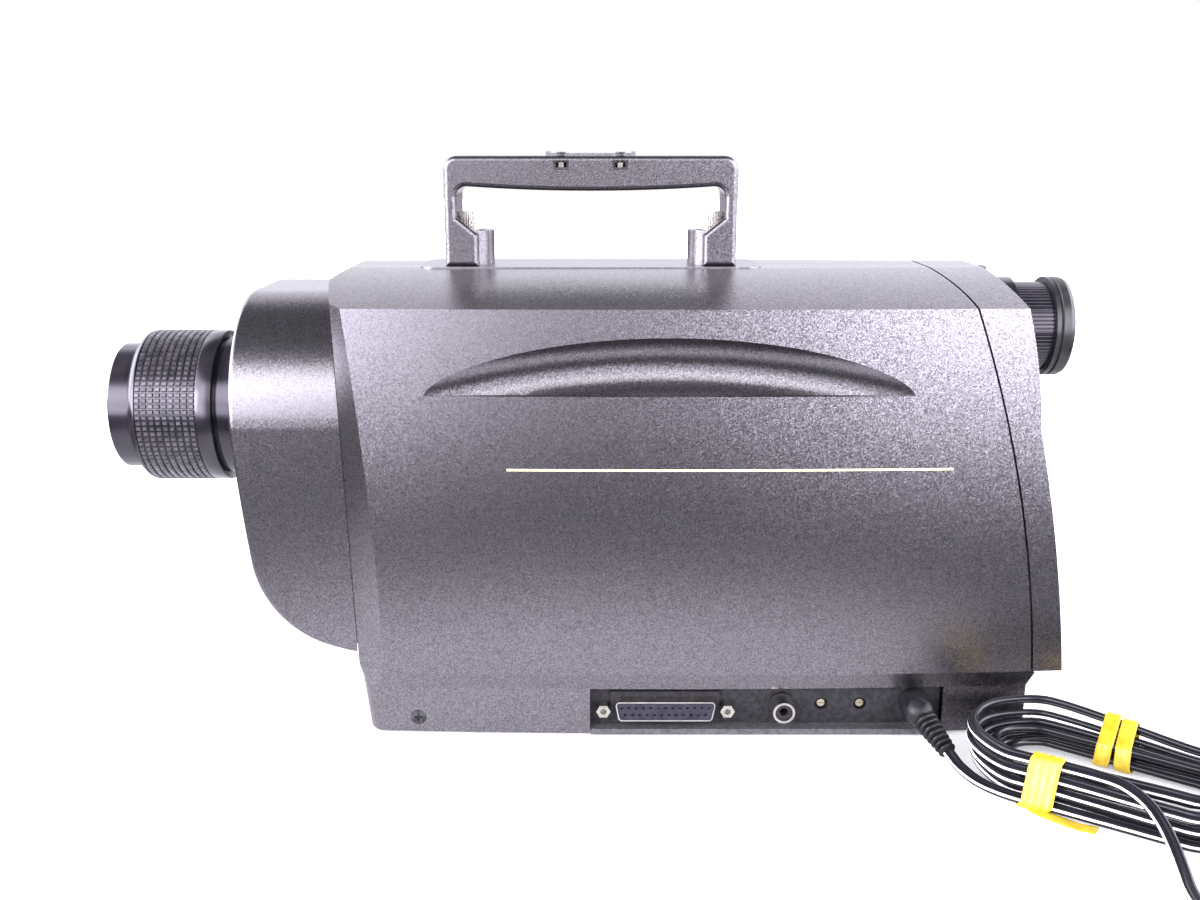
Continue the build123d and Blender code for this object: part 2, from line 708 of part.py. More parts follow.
def make_nose(body_front):
    """The nose shell, with a lip that plugs into the covers' front wall and a boss for the lens."""
    outer = nose_body(0)
    rim_end = NOSE_FRONT_X + NOSE_BACK_RUN + NOSE_LIP
    rim = [edge for edge in outer.edges() if edge.bounding_box().max.X < rim_end
           and (abs(edge.center().Y) > NOSE_HALF_WIDTH / 2 or edge.center().Z > NOSE_TOP_Z - NOSE_EDGE)]
    outer = fillet(rim, NOSE_EDGE)
    shell = outer - (Pos(-SLIP_CLEARANCE, 0, 0) * body_front)
    back = FRONT_SIDE_X + FRONT_LEAN + OVERRUN
    lip_start = FRONT_CENTRE_X - OVERRUN
    lip = nose_body(WALL) - nose_body(WALL + LIP_WALL)
    lip &= box_between((lip_start, -FAR, -FAR), (back, FAR, FAR))
    lip &= Pos(-LIP_LENGTH, 0, 0) * body_front
    lip -= Pos(NOSE_LIP, 0, 0) * body_front
    shell = shell - nose_body(WALL)
    boss = rod_x(NOSE_FRONT_X, NOSE_FRONT_X + NOSE_BOSS_LENGTH, NOSE_BOSS_RADIUS, 0, LENS_AXIS_Z)
    shell = shell + lip + boss
    mount_hole = MOUNT_RADIUS + FIT_CLEARANCE
    shell -= rod_x(NOSE_FRONT_X - OVERRUN, NOSE_FRONT_X + OVERRUN, mount_hole, 0, LENS_AXIS_Z)
    return shell


def make_rear_cover():
    """The rear cover, with a lip under the edge of the main covers."""
    seam, high, foot = seam_edges(GAP_LINE)
    crease = (REAR_CREASE_X, 0, CREASE_Z)
    top = (REAR_TOP_X, 0, BODY_TOP_Z)
    upper = (REAR_UPPER_MID_X, 0, REAR_UPPER_MID_Z)
    waist = (REAR_WAIST_X, 0, REAR_WAIST_Z)
    lower = (REAR_LOWER_MID_X, 0, REAR_LOWER_MID_Z)
    rear_foot = (REAR_FOOT_X, 0, SIDE_FOOT_Z)
    edges = seam + [Line(foot, rear_foot), ThreePointArc(rear_foot, lower, waist),
                    ThreePointArc(waist, upper, crease), Line(crease, top)]
    edges += chain([top, (REAR_TOP_X, 0, high[2]), high])
    outer = whole_body(0, SKIRT_BOTTOM_Z) & side_solid(edges)
    seam_in, high_in, foot_in = seam_edges(-LIP_LENGTH)
    seam_out, high_out, foot_out = seam_edges(GAP_LINE + WALL)
    lip_edges = seam_in + [Line(foot_in, foot_out)] + seam_out + [Line(high_out, high_in)]
    lip = whole_body(WALL + SLIP_CLEARANCE, SKIRT_BOTTOM_Z) & side_solid(lip_edges)
    lip &= box_between((-FAR, -FAR, SIDE_FOOT_Z), (FAR, FAR, FAR))
    inner_wall = WALL + SLIP_CLEARANCE + LIP_WALL
    inner_foot = (REAR_FOOT_X - inner_wall, 0, SIDE_FOOT_Z + WALL)
    inner_crease = (REAR_CREASE_X - inner_wall, 0, CREASE_Z)
    inner_edges = [Line((0, 0, SIDE_FOOT_Z + WALL), inner_foot),
                   ThreePointArc(inner_foot, (lower[0] - inner_wall, 0, lower[2]),
                                 (waist[0] - inner_wall, 0, waist[2])),
                   Line((waist[0] - inner_wall, 0, waist[2]), inner_crease)]
    inner_edges += chain([inner_crease, (REAR_TOP_X - inner_wall, 0, BODY_TOP_Z), (0, 0, BODY_TOP_Z),
                          (0, 0, SIDE_FOOT_Z + WALL)])
    void = whole_body(inner_wall, SKIRT_BOTTOM_Z) & side_solid(inner_edges)
    cover = outer + lip - void
    cover -= rod_x(SEAM_TOP_X, REAR_X, EYE_COLLAR_RADIUS + SLIP_CLEARANCE, 0, EYE_AXIS_Z)
    cover -= rod_x(SEAM_TOP_X, REAR_X, SELECTOR_SHAFT_RADIUS + RUN_CLEARANCE, SELECTOR_Y, SELECTOR_Z)
    return cover


def make_base():
    """The base plate, which follows the bowed skirts and carries the sill of the bay."""
    inset = WALL + SLIP_CLEARANCE
    slab = box_between((-FAR, -FAR, BASE_BOTTOM_Z), (FAR, FAR, SILL_TOP_Z))
    plate = whole_body(inset, -OVERRUN) & slab & front_solid(inset)
    plate &= box_between((-FAR, -FAR, -FAR), (LEDGE_FOOT_X - inset, FAR, FAR))
    sill_gap = SLIP_CLEARANCE
    plate += box_between((BAY_START_X + sill_gap, -SILL_FRONT_Y, BASE_BOTTOM_Z),
                         (BAY_END_X - sill_gap, -FRONT_SIDE_Y, SILL_TOP_Z))
    plate -= rod_z(-OVERRUN, OVERRUN, TRIPOD_RADIUS + FIT_CLEARANCE)
    for x in (SCREW_FRONT_X, SCREW_REAR_X):
        for side in (-1, 1):
            inner = SKIRT_Y - inset - max(bow(x - TAB_WIDTH / 2), bow(x + TAB_WIDTH / 2))
            near = side * inner
            far = side * (inner - TAB_DEPTH)
            tab = box_between((x - TAB_WIDTH / 2, min(near, far), SILL_TOP_Z),
                              (x + TAB_WIDTH / 2, max(near, far), SILL_TOP_Z + TAB_HEIGHT))
            plate += tab
            hole_end = side * (inner - SCREW_SHANK_LENGTH)
            low = min(near, hole_end)
            high = max(near, hole_end)
            plate -= rod_y(low, high, SCREW_SHANK_RADIUS + RUN_CLEARANCE, x, SCREW_Z)
    return plate


def make_side_screws():
    """Four cross-recessed screws that hold the covers to the base."""
    screws = []
    for x in (SCREW_FRONT_X, SCREW_REAR_X):
        outside = SKIRT_Y - bow(x)
        inside = outside - WALL - SLIP_CLEARANCE + FIT_CLEARANCE
        tip = inside - SCREW_SHANK_LENGTH + FIT_CLEARANCE
        screw = rod_y(-outside, -inside, SCREW_HEAD_RADIUS, x, SCREW_Z)
        screw += rod_y(-inside, -tip, SCREW_SHANK_RADIUS, x, SCREW_Z)
        deep = SCREW_SLOT_DEPTH - outside
        wide = SCREW_SLOT_LENGTH / 2
        thin = SCREW_SLOT_WIDTH / 2
        screw -= box_between((x - wide, -FAR, SCREW_Z - thin), (x + wide, deep, SCREW_Z + thin))
        screw -= box_between((x - thin, -FAR, SCREW_Z - wide), (x + thin, deep, SCREW_Z + wide))
        screws += [screw, mirror(screw, about=Plane.XZ)]
    return Compound(screws)


def make_feet():
    """Four thin rubber pads under the base."""
    spots = [(FOOT_SHIFT_X + i * FOOT_X, j * FOOT_Y) for i in (-1, 1) for j in (-1, 1)]
    pads = [rod_z(0, BASE_BOTTOM_Z, FOOT_RADIUS, *spot) for spot in spots]
    return Compound(pads)


def make_tripod_bush():
    """The tripod bush, flanged over the base plate, with a blind threaded hole from below."""
    bush = rod_z(BASE_BOTTOM_Z, TRIPOD_HEIGHT, TRIPOD_RADIUS)
    bush += rod_z(SILL_TOP_Z, SILL_TOP_Z + TRIPOD_FLANGE, TRIPOD_FLANGE_RADIUS)
    return bush - rod_z(BASE_BOTTOM_Z, BASE_BOTTOM_Z + TRIPOD_THREAD_LENGTH, TRIPOD_THREAD_RADIUS)


def dsub_outline(grow):
    """The D-shaped outline of the connector, wide side up, in the panel's plane."""
    half_wide = DSUB_SHELL_WIDTH / 2 + grow
    half_narrow = half_wide - DSUB_SHELL_SLANT
    half_height = DSUB_SHELL_HEIGHT / 2 + grow
    outline = Polyline((-half_wide, half_height), (half_wide, half_height), (half_narrow, -half_height),
                       (-half_narrow, -half_height), close=True)
    face = make_face([outline])
    return fillet(face.vertices(), DSUB_SHELL_CORNER + grow)


def dsub_bar(grow, front_y, back_y):
    """The D-shaped outline as a bar between two depths behind the left side."""
    bar = extrude(dsub_outline(grow), back_y - front_y)
    return Pos(DSUB_X, back_y, DSUB_Z) * Rot(90, 0, 0) * bar


def make_panel():
    """The dark connector panel with its cut-outs."""
    panel = box_between((BAY_START_X - PANEL_OVERLAP, -PANEL_Y, SILL_TOP_Z),
                        (BAY_END_X + PANEL_OVERLAP - WALL, PANEL_THICKNESS - PANEL_Y, PANEL_TOP_Z))
    back = -PANEL_Y + OVERRUN
    panel -= dsub_bar(FIT_CLEARANCE, -FAR, back)
    panel -= rod_y(-FAR, back, PHONO_THREAD_RADIUS + FIT_CLEARANCE, PHONO_X, PHONO_Z)
    panel -= rod_y(-FAR, back, JACK_RIM_RADIUS + FIT_CLEARANCE, JACK_X, JACK_Z)
    for i in (0, 1):
        panel -= rod_y(-FAR, back, TRIMMER_HOLE_RADIUS, TRIMMER_X + i * TRIMMER_SPACING, TRIMMER_Z)
    for i in (-1, 1):
        x = DSUB_X + i * DSUB_SCREW_SPACING / 2
        panel -= rod_y(-FAR, back, JACKSCREW_TAIL_RADIUS + FIT_CLEARANCE, x, DSUB_Z)
    return panel


def make_dsub():
    """The D-sub shell, its bezel, its insulator with 25 contact holes, and two jackscrews."""
    tip = -PANEL_Y - DSUB_REACH
    back = -PANEL_Y + DSUB_BODY_DEPTH
    shell = dsub_bar(0, tip, back) - dsub_bar(-DSUB_SHELL_WALL, tip - OVERRUN, back + OVERRUN)
    half_wide = DSUB_BEZEL_WIDTH / 2
    half_high = DSUB_BEZEL_HEIGHT / 2
    bezel = box_between((DSUB_X - half_wide, -PANEL_Y - DSUB_BEZEL_THICKNESS, DSUB_Z - half_high),
                        (DSUB_X + half_wide, -PANEL_Y, DSUB_Z + half_high))
    bezel -= dsub_bar(FIT_CLEARANCE / 2, -FAR, back)
    insulator = dsub_bar(-DSUB_SHELL_WALL - RUN_CLEARANCE, tip + DSUB_FACE_DROP, back)
    holes = []
    for row in (0, 1):
        count = DSUB_TOP_COUNT - row
        z = DSUB_Z + DSUB_ROW_PITCH * (0.5 - row)
        for i in range(count):
            x = DSUB_X + DSUB_PITCH * (i - (count - 1) / 2)
            holes.append(rod_y(tip, tip + DSUB_CONTACT_DEPTH, DSUB_CONTACT_RADIUS, x, z))
    insulator = insulator - holes
    jackscrews = []
    for i in (-1, 1):
        x = DSUB_X + i * DSUB_SCREW_SPACING / 2
        front = -PANEL_Y - JACKSCREW_REACH
        hexagon = extrude(RegularPolygon(JACKSCREW_RADIUS, 6), JACKSCREW_REACH)
        screw = Pos(x, -PANEL_Y, DSUB_Z) * Rot(90, 0, 0) * hexagon
        screw += rod_y(-PANEL_Y, JACKSCREW_TAIL - PANEL_Y, JACKSCREW_TAIL_RADIUS, x, DSUB_Z)
        screw -= rod_y(front, front + JACKSCREW_BORE_DEPTH, JACKSCREW_BORE_RADIUS, x, DSUB_Z)
        jackscrews.append(screw)
    return shell, bezel, insulator, Compound(jackscrews)


def make_phono():
    """The phono jack: a plated sleeve, its insulator with the centre socket, and a black ring."""
    front = -PANEL_Y - PHONO_REACH
    back = PHONO_TAIL - PANEL_Y
    bore = PHONO_RADIUS - PHONO_WALL
    shoulder = -PANEL_Y - PHONO_RING - FIT_CLEARANCE
    sleeve = rod_y(front, shoulder, PHONO_RADIUS, PHONO_X, PHONO_Z)
    sleeve += rod_y(shoulder, back, PHONO_THREAD_RADIUS, PHONO_X, PHONO_Z)
    sleeve -= rod_y(-FAR, FAR, bore, PHONO_X, PHONO_Z)
    core_front = front + PHONO_FACE_DROP
    core = rod_y(core_front, back, bore - RUN_CLEARANCE, PHONO_X, PHONO_Z)
    core -= rod_y(core_front, core_front + PHONO_SOCKET_DEPTH, PHONO_SOCKET_RADIUS, PHONO_X, PHONO_Z)
    ring = rod_y(-PANEL_Y - PHONO_RING, -PANEL_Y, PHONO_RING_RADIUS, PHONO_X, PHONO_Z)
    ring -= rod_y(-FAR, FAR, PHONO_THREAD_RADIUS + RUN_CLEARANCE, PHONO_X, PHONO_Z)
    return sleeve, core, ring


def trimmer_front():
    """The depth of a trimmer screw's slotted face."""
    return TRIMMER_SCREW_DROP - PANEL_Y


def make_trimmer_screw(x):
    """A slotted brass trimmer screw, set back in its panel hole."""
    front = trimmer_front()
    screw = rod_y(front, front + TRIMMER_SCREW_LENGTH, TRIMMER_SCREW_RADIUS, x, TRIMMER_Z)
    half = TRIMMER_SLOT_WIDTH / 2
    bottom = front + TRIMMER_SLOT_DEPTH
    slot = box_between((x - FAR, front, TRIMMER_Z - half), (x + FAR, bottom, TRIMMER_Z + half))
    return screw - slot


def make_trimmer_bodies():
    """The two trimmer bodies behind the panel, each with the bore its screw turns in."""
    bodies = []
    front = PANEL_THICKNESS + TRIMMER_BODY_GAP - PANEL_Y
    half = TRIMMER_BODY / 2
    for i in (0, 1):
        x = TRIMMER_X + i * TRIMMER_SPACING
        body = box_between((x - half, front, TRIMMER_Z - half),
                           (x + half, front + TRIMMER_BODY_DEPTH, TRIMMER_Z + half))
        deep = trimmer_front() + TRIMMER_SCREW_LENGTH + FIT_CLEARANCE
        body -= rod_y(-FAR, deep, TRIMMER_SCREW_RADIUS + RUN_CLEARANCE, x, TRIMMER_Z)
        bodies.append(body)
    return Compound(bodies)


def make_power_jack():
    """The power jack behind the panel, with its bore and its centre pin."""
    half = JACK_BODY_WIDTH / 2
    high = JACK_BODY_HEIGHT / 2
    front = PANEL_THICKNESS - PANEL_Y
    back = front + JACK_BODY_DEPTH
    jack = box_between((JACK_X - half, front, JACK_Z - high), (JACK_X + half, back, JACK_Z + high))
    jack += rod_y(-PANEL_Y, front, JACK_RIM_RADIUS, JACK_X, JACK_Z)
    jack -= rod_y(-PANEL_Y, JACK_BORE_DEPTH - PANEL_Y, JACK_BORE_RADIUS, JACK_X, JACK_Z)
    return jack + rod_y(-PANEL_Y, JACK_BORE_DEPTH - PANEL_Y, JACK_PIN_RADIUS, JACK_X, JACK_Z)


def plug_end():
    """The middle of the plug's domed end."""
    return Vector(JACK_X, -PANEL_Y - PLUG_STAND_OFF - PLUG_LENGTH, JACK_Z)


def relief_direction():
    """The way the strain relief points: out of the panel, a little to the rear and down."""
    turn = math.radians(RELIEF_TURN)
    droop = math.radians(RELIEF_DROOP)
    return Vector(math.cos(droop) * math.sin(turn), -math.cos(droop) * math.cos(turn), -math.sin(droop))


def make_plug():
    """The power plug: a barrel in the jack and a round body with a domed end."""
    end = plug_end()
    back = -PANEL_Y - PLUG_STAND_OFF
    plug = rod_y(end.Y, back, PLUG_RADIUS, JACK_X, JACK_Z)
    plug += Pos(*end) * Sphere(PLUG_RADIUS)
    plug += rod_y(back, PLUG_BARREL_LENGTH - PANEL_Y, PLUG_BARREL_RADIUS, JACK_X, JACK_Z)
    return plug - rod_y(back, FAR, PLUG_BARREL_BORE_RADIUS, JACK_X, JACK_Z)


def relief_ends():
    """Where the strain relief starts and where the cord leaves it."""
    way = relief_direction()
    start = plug_end() + way * (PLUG_RADIUS + RUN_CLEARANCE)
    return start, start + way * RELIEF_LENGTH


def make_relief():
    """The tapered strain relief with its ribs, turned about its own line."""
    start, end = relief_ends()
    pitch = RELIEF_LENGTH / RELIEF_RIBS
    outline = [(0, 0)]
    for i in range(RELIEF_RIBS):
        taper = RELIEF_START_RADIUS + (RELIEF_END_RADIUS - RELIEF_START_RADIUS) * i / (RELIEF_RIBS - 1)
        low = i * pitch
        split = low + pitch * RELIEF_RIB_SHARE
        outline += [(taper, low), (taper, split)]
        outline += [(taper - RELIEF_GROOVE, split), (taper - RELIEF_GROOVE, low + pitch)]
    outline.append((0, RELIEF_LENGTH))
    profile = make_face([Polyline(*[(r, 0, h) for r, h in outline], close=True)])
    solid = revolve(profile, Axis.Z, 360)
    return Plane(origin=start, z_dir=end - start).location * solid


def handle_outline():
    """The handle's side view without its windows: a frame with two feet."""
    outer = RectangleRounded(2 * HANDLE_HALF_LENGTH, 2 * (HANDLE_TOP_Z - BODY_TOP_Z), HANDLE_CORNER)
    outer = Pos(0, BODY_TOP_Z) * outer
    outer &= Pos(0, HANDLE_TOP_Z) * Rectangle(2 * FAR, 2 * (HANDLE_TOP_Z - BODY_TOP_Z - HANDLE_PLATE_PROUD))
    inner_x = HANDLE_HALF_LENGTH - HANDLE_LEG
    foot_x = HANDLE_HALF_LENGTH - HANDLE_FOOT_LENGTH
    low = BODY_TOP_Z - OVERRUN
    left_top = (-inner_x, HANDLE_GRIP_END_Z)
    right_top = (inner_x, HANDLE_GRIP_END_Z)
    edges = [ThreePointArc(left_top, (0, HANDLE_GRIP_MID_Z), right_top)]
    edges += chain([right_top, (inner_x, HANDLE_SLOPE_Z), (foot_x, HANDLE_FOOT_Z), (foot_x, low),
                    (-foot_x, low), (-foot_x, HANDLE_FOOT_Z), (-inner_x, HANDLE_SLOPE_Z), left_top])
    opening = make_face(edges)
    corners = opening.vertices().sort_by(Axis.Y)[-2:]
    return outer - fillet(corners, HANDLE_INNER_CORNER)


def make_handle():
    """The cast handle with its feet, screw bosses, pockets and nut windows."""
    frame = extrude(handle_outline(), HANDLE_WIDTH / 2, both=True)
    handle = Rot(90, 0, 0) * frame
    sides = handle.faces().sort_by(Axis.Y)
    handle = fillet(sides[0].edges() + sides[-1].edges(), HANDLE_EDGE)
    floor = BODY_TOP_Z + HANDLE_PLATE_PROUD
    for side in (-1, 1):
        x = side * BOSS_X
        handle += rod_z(floor, BOSS_TOP_Z, BOSS_RADIUS, x)
        wall_x = side * (HANDLE_HALF_LENGTH - HANDLE_LEG)
        out_x = x - side * (BOSS_RADIUS + POCKET_HALF_WIDTH)
        handle -= box_between((min(wall_x, out_x), -POCKET_HALF_WIDTH, BOSS_TOP_Z),
                              (max(wall_x, out_x), POCKET_HALF_WIDTH, HANDLE_SLOPE_Z))
        handle -= rod_z(floor - OVERRUN, BOSS_TOP_Z, THUMB_SHANK_RADIUS + RUN_CLEARANCE, x)
        window_x = side * WINDOW_X
        half = WINDOW_WIDTH / 2
        high = WINDOW_HEIGHT / 2
        handle -= box_between((window_x - half, -HANDLE_WIDTH, WINDOW_Z - high),
                              (window_x + half, WINDOW_DEPTH - HANDLE_WIDTH / 2, WINDOW_Z + high))
        screw_y = nut_y()
        handle -= rod_z(WINDOW_Z, HANDLE_TOP_Z + OVERRUN, TOP_SCREW_RADIUS + FIT_CLEARANCE, window_x, screw_y)
    return handle


def nut_y():
    """How far forward the nuts in the windows sit."""
    return WINDOW_DEPTH - HANDLE_WIDTH / 2 - NUT_RADIUS - FIT_CLEARANCE


def make_handle_plate():
    """The thin plate let into the top under the handle."""
    z = BODY_TOP_Z + HANDLE_PLATE_PROUD - HANDLE_PLATE_THICKNESS
    plate = Pos(0, 0, z) * extrude(handle_plate_outline(0), HANDLE_PLATE_THICKNESS)
    for x in (-BOSS_X, BOSS_X):
        plate -= rod_z(z - OVERRUN, z + OVERRUN, THUMB_SHANK_RADIUS + SLIP_CLEARANCE, x)
    return plate


def make_thumbscrew(x):
    """A captive thumbscrew: a knurled head with cross holes, and a long shank."""
    low = BOSS_TOP_Z + THUMB_LIFT
    top = low + THUMB_HEIGHT
    head = rod_z(low, top, THUMB_RADIUS, x)
    grooves = []
    for i in range(THUMB_KNURLS):
        turn = 2 * math.pi * i / THUMB_KNURLS
        gx = x + THUMB_RADIUS * math.cos(turn)
        gy = THUMB_RADIUS * math.sin(turn)
        grooves.append(rod_z(low, top, THUMB_KNURL_RADIUS, gx, gy))
    head = head - grooves
    head -= rod_y(-FAR, FAR, THUMB_CROSS_RADIUS, x, low + THUMB_CROSS_Z)
    head -= rod_x(x - OVERRUN, x + OVERRUN, THUMB_CROSS_RADIUS, 0, low + THUMB_CROSS_Z)
    return head + rod_z(low - THUMB_SHANK_LENGTH, low, THUMB_SHANK_RADIUS, x)


def make_anchor():
    """The bar inside the top that the thumbscrews thread into."""
    top = BODY_TOP_Z - WALL - HANDLE_PLATE_THICKNESS
    half = BOSS_X + ANCHOR_MARGIN
    bar = box_between((-half, -ANCHOR_WIDTH / 2, top - ANCHOR_HEIGHT), (half, ANCHOR_WIDTH / 2, top))
    for x in (-BOSS_X, BOSS_X):
        bar -= rod_z(top - OVERRUN, top + OVERRUN, THUMB_SHANK_RADIUS + RUN_CLEARANCE, x)
    return bar


def make_top_plate():
    """The thin accessory plate on the handle, with two raised end lips."""
    base = HANDLE_TOP_Z
    half = TOP_PLATE_LENGTH / 2
    wide = TOP_PLATE_WIDTH / 2
    plate = box_between((-half, -wide, base), (half, wide, base + TOP_PLATE_THICKNESS))
    for side in (-1, 1):
        outer = side * half
        inner = side * (half - TOP_PLATE_LIP_WIDTH)
        plate += box_between((min(outer, inner), -wide, base),
                             (max(outer, inner), wide, base + TOP_PLATE_THICKNESS + TOP_PLATE_LIP))
        x = side * WINDOW_X
        plate -= rod_z(base - OVERRUN, base + OVERRUN, TOP_SCREW_RADIUS + FIT_CLEARANCE, x, nut_y())
    return plate


def make_top_screws():
    """Two small screws down through the accessory plate, and their hex nuts in the windows."""
    screws = []
    nuts = []
    base = HANDLE_TOP_Z + TOP_PLATE_THICKNESS
    nut_low = WINDOW_Z - NUT_HEIGHT / 2
    for side in (-1, 1):
        x = side * WINDOW_X
        y = nut_y()
        screw = rod_z(base, base + TOP_SCREW_HEAD, TOP_SCREW_HEAD_RADIUS, x, y)
        screws.append(screw + rod_z(nut_low, base, TOP_SCREW_RADIUS, x, y))
        nut = Pos(x, y, nut_low) * extrude(RegularPolygon(NUT_RADIUS, 6), NUT_HEIGHT)
        nuts.append(nut - rod_z(nut_low - OVERRUN, nut_low + OVERRUN, TOP_SCREW_RADIUS + RUN_CLEARANCE, x, y))
    return Compound(screws), Compound(nuts)


def lens_solid(front_x, thickness, radius, sag, z):
    """A glass element: a disc between two domed faces."""
    dome = (radius ** 2 + sag ** 2) / (2 * sag)
    disc = rod_x(front_x, front_x + thickness, radius, 0, z)
    front = Pos(front_x + dome, 0, z) * Sphere(dome)
    back = Pos(front_x + thickness - dome, 0, z) * Sphere(dome)
    return disc & front & back


def make_front_barrel():
    """The front barrel, which slides out as the lens is focused, with its filter thread."""
    ring_end = FRONT_X + FRONT_RING_LENGTH
    end = FRONT_X + FRONT_BARREL_LENGTH
    seat = FRONT_X + FRONT_LENS_DROP
    glass_end = seat + FRONT_LENS_THICKNESS
    outline = [
        (FRONT_X, FRONT_RING_RADIUS - EYE_LENS_SAG / 2), (FRONT_X + EYE_LENS_SAG / 2, FRONT_RING_RADIUS),
        (ring_end, FRONT_RING_RADIUS), (ring_end, FRONT_BARREL_BODY_RADIUS),
        (end, FRONT_BARREL_BODY_RADIUS), (end, FRONT_LENS_RADIUS - WALL),
        (glass_end, FRONT_LENS_RADIUS - WALL),
        (glass_end, FRONT_LENS_RADIUS + RUN_CLEARANCE), (seat, FRONT_LENS_RADIUS + RUN_CLEARANCE),
        (FRONT_X + FILTER_THREAD_LENGTH, FRONT_LENS_RADIUS + RUN_CLEARANCE),
        (FRONT_X + FILTER_THREAD_LENGTH, FILTER_THREAD_RADIUS), (FRONT_X, FILTER_THREAD_RADIUS),
    ]
    return turned_x(outline, LENS_AXIS_Z)


def focus_start():
    """The front end of the focus ring."""
    return FRONT_X + FRONT_RING_LENGTH + SLIP_CLEARANCE


def make_focus_ring():
    """The focus ring: a round shoulder, a ribbed grip and a smooth rear band."""
    start = focus_start()
    end = start + FOCUS_LENGTH
    bore = BARREL_OUTER_RADIUS + RUN_CLEARANCE
    outline = [(start, FOCUS_FRONT_BORE_RADIUS), (start, FOCUS_FRONT_RADIUS),
                (start + FOCUS_SHOULDER / 3,
                 FOCUS_FRONT_RADIUS + (FOCUS_RING_RADIUS - FOCUS_FRONT_RADIUS) * 2 / 3)]
    grip_start = start + FOCUS_SHOULDER
    grip_end = end - FOCUS_SMOOTH
    outline.append((grip_start, FOCUS_RING_RADIUS))
    pitch = (grip_end - grip_start) / FOCUS_COLUMNS
    for i in range(1, FOCUS_COLUMNS + 1):
        middle = grip_start + i * pitch
        low = FOCUS_RING_RADIUS - FOCUS_GROOVE_DEPTH
        outline += [(middle - FOCUS_GROOVE, FOCUS_RING_RADIUS), (middle - FOCUS_GROOVE, low),
                    (middle, low), (middle, FOCUS_RING_RADIUS)]
    lip_end = start + FOCUS_LIP
    outline += [(end, FOCUS_RING_RADIUS), (end, bore), (lip_end, bore), (lip_end, FOCUS_FRONT_BORE_RADIUS)]
    return turned_x(outline, LENS_AXIS_Z)


def make_lens_barrel():
    """The fixed barrel that the focus ring turns on and the front barrel slides in."""
    start = focus_start() + FOCUS_LIP + SLIP_CLEARANCE
    focus_end = focus_start() + FOCUS_LENGTH
    groove_end = focus_end + SLIP_CLEARANCE + BARREL_GROOVE
    ring_end = groove_end + BARREL_RING_ONE
    bore = FRONT_BARREL_BODY_RADIUS + RUN_CLEARANCE
    glass_start = FRONT_X + FRONT_BARREL_LENGTH + SLIP_CLEARANCE
    seat = REAR_LENS_RADIUS + RUN_CLEARANCE
    outline = [
        (start, bore), (start, BARREL_OUTER_RADIUS), (groove_end, BARREL_OUTER_RADIUS),
        (groove_end, BARREL_RING_ONE_RADIUS), (ring_end, BARREL_RING_ONE_RADIUS),
        (ring_end, BARREL_RING_TWO_RADIUS), (NOSE_FRONT_X, BARREL_RING_TWO_RADIUS),
        (NOSE_FRONT_X, MOUNT_RADIUS), (NOSE_FRONT_X + MOUNT_LENGTH, MOUNT_RADIUS),
        (NOSE_FRONT_X + MOUNT_LENGTH, REAR_LENS_RADIUS - WALL),
        (glass_start + REAR_LENS_THICKNESS, REAR_LENS_RADIUS - WALL),
        (glass_start + REAR_LENS_THICKNESS, seat), (glass_start, seat), (glass_start, bore),
    ]
    return turned_x(outline, LENS_AXIS_Z)


def make_lock_ring():
    """The ring that clamps the lens barrel from inside the nose."""
    start = NOSE_FRONT_X + NOSE_BOSS_LENGTH + FIT_CLEARANCE
    outline = [(start, MOUNT_RADIUS + FIT_CLEARANCE), (start, LOCK_RING_RADIUS),
               (start + LOCK_RING_LENGTH, LOCK_RING_RADIUS),
               (start + LOCK_RING_LENGTH, MOUNT_RADIUS + FIT_CLEARANCE)]
    return turned_x(outline, LENS_AXIS_Z)


def make_bulkhead():
    """The rear bulkhead that carries the eyepiece."""
    inset = WALL + SLIP_CLEARANCE + LIP_WALL
    end = BULKHEAD_X + BULKHEAD_THICKNESS
    plate = whole_body(inset, SILL_TOP_Z) & box_between((BULKHEAD_X, -FAR, SILL_TOP_Z), (end, FAR, FAR))
    bay_back = -FRONT_SIDE_Y + TRIMMER_BODY * 2
    plate -= box_between((BULKHEAD_X, -FAR, SILL_TOP_Z), (end, bay_back, PANEL_TOP_Z + WALL))
    plate -= rod_x(BULKHEAD_X, end, EYE_TUBE_BORE_RADIUS, 0, EYE_AXIS_Z)
    plate -= rod_x(BULKHEAD_X, end, SELECTOR_SHAFT_RADIUS + RUN_CLEARANCE, SELECTOR_Y, SELECTOR_Z)
    return plate


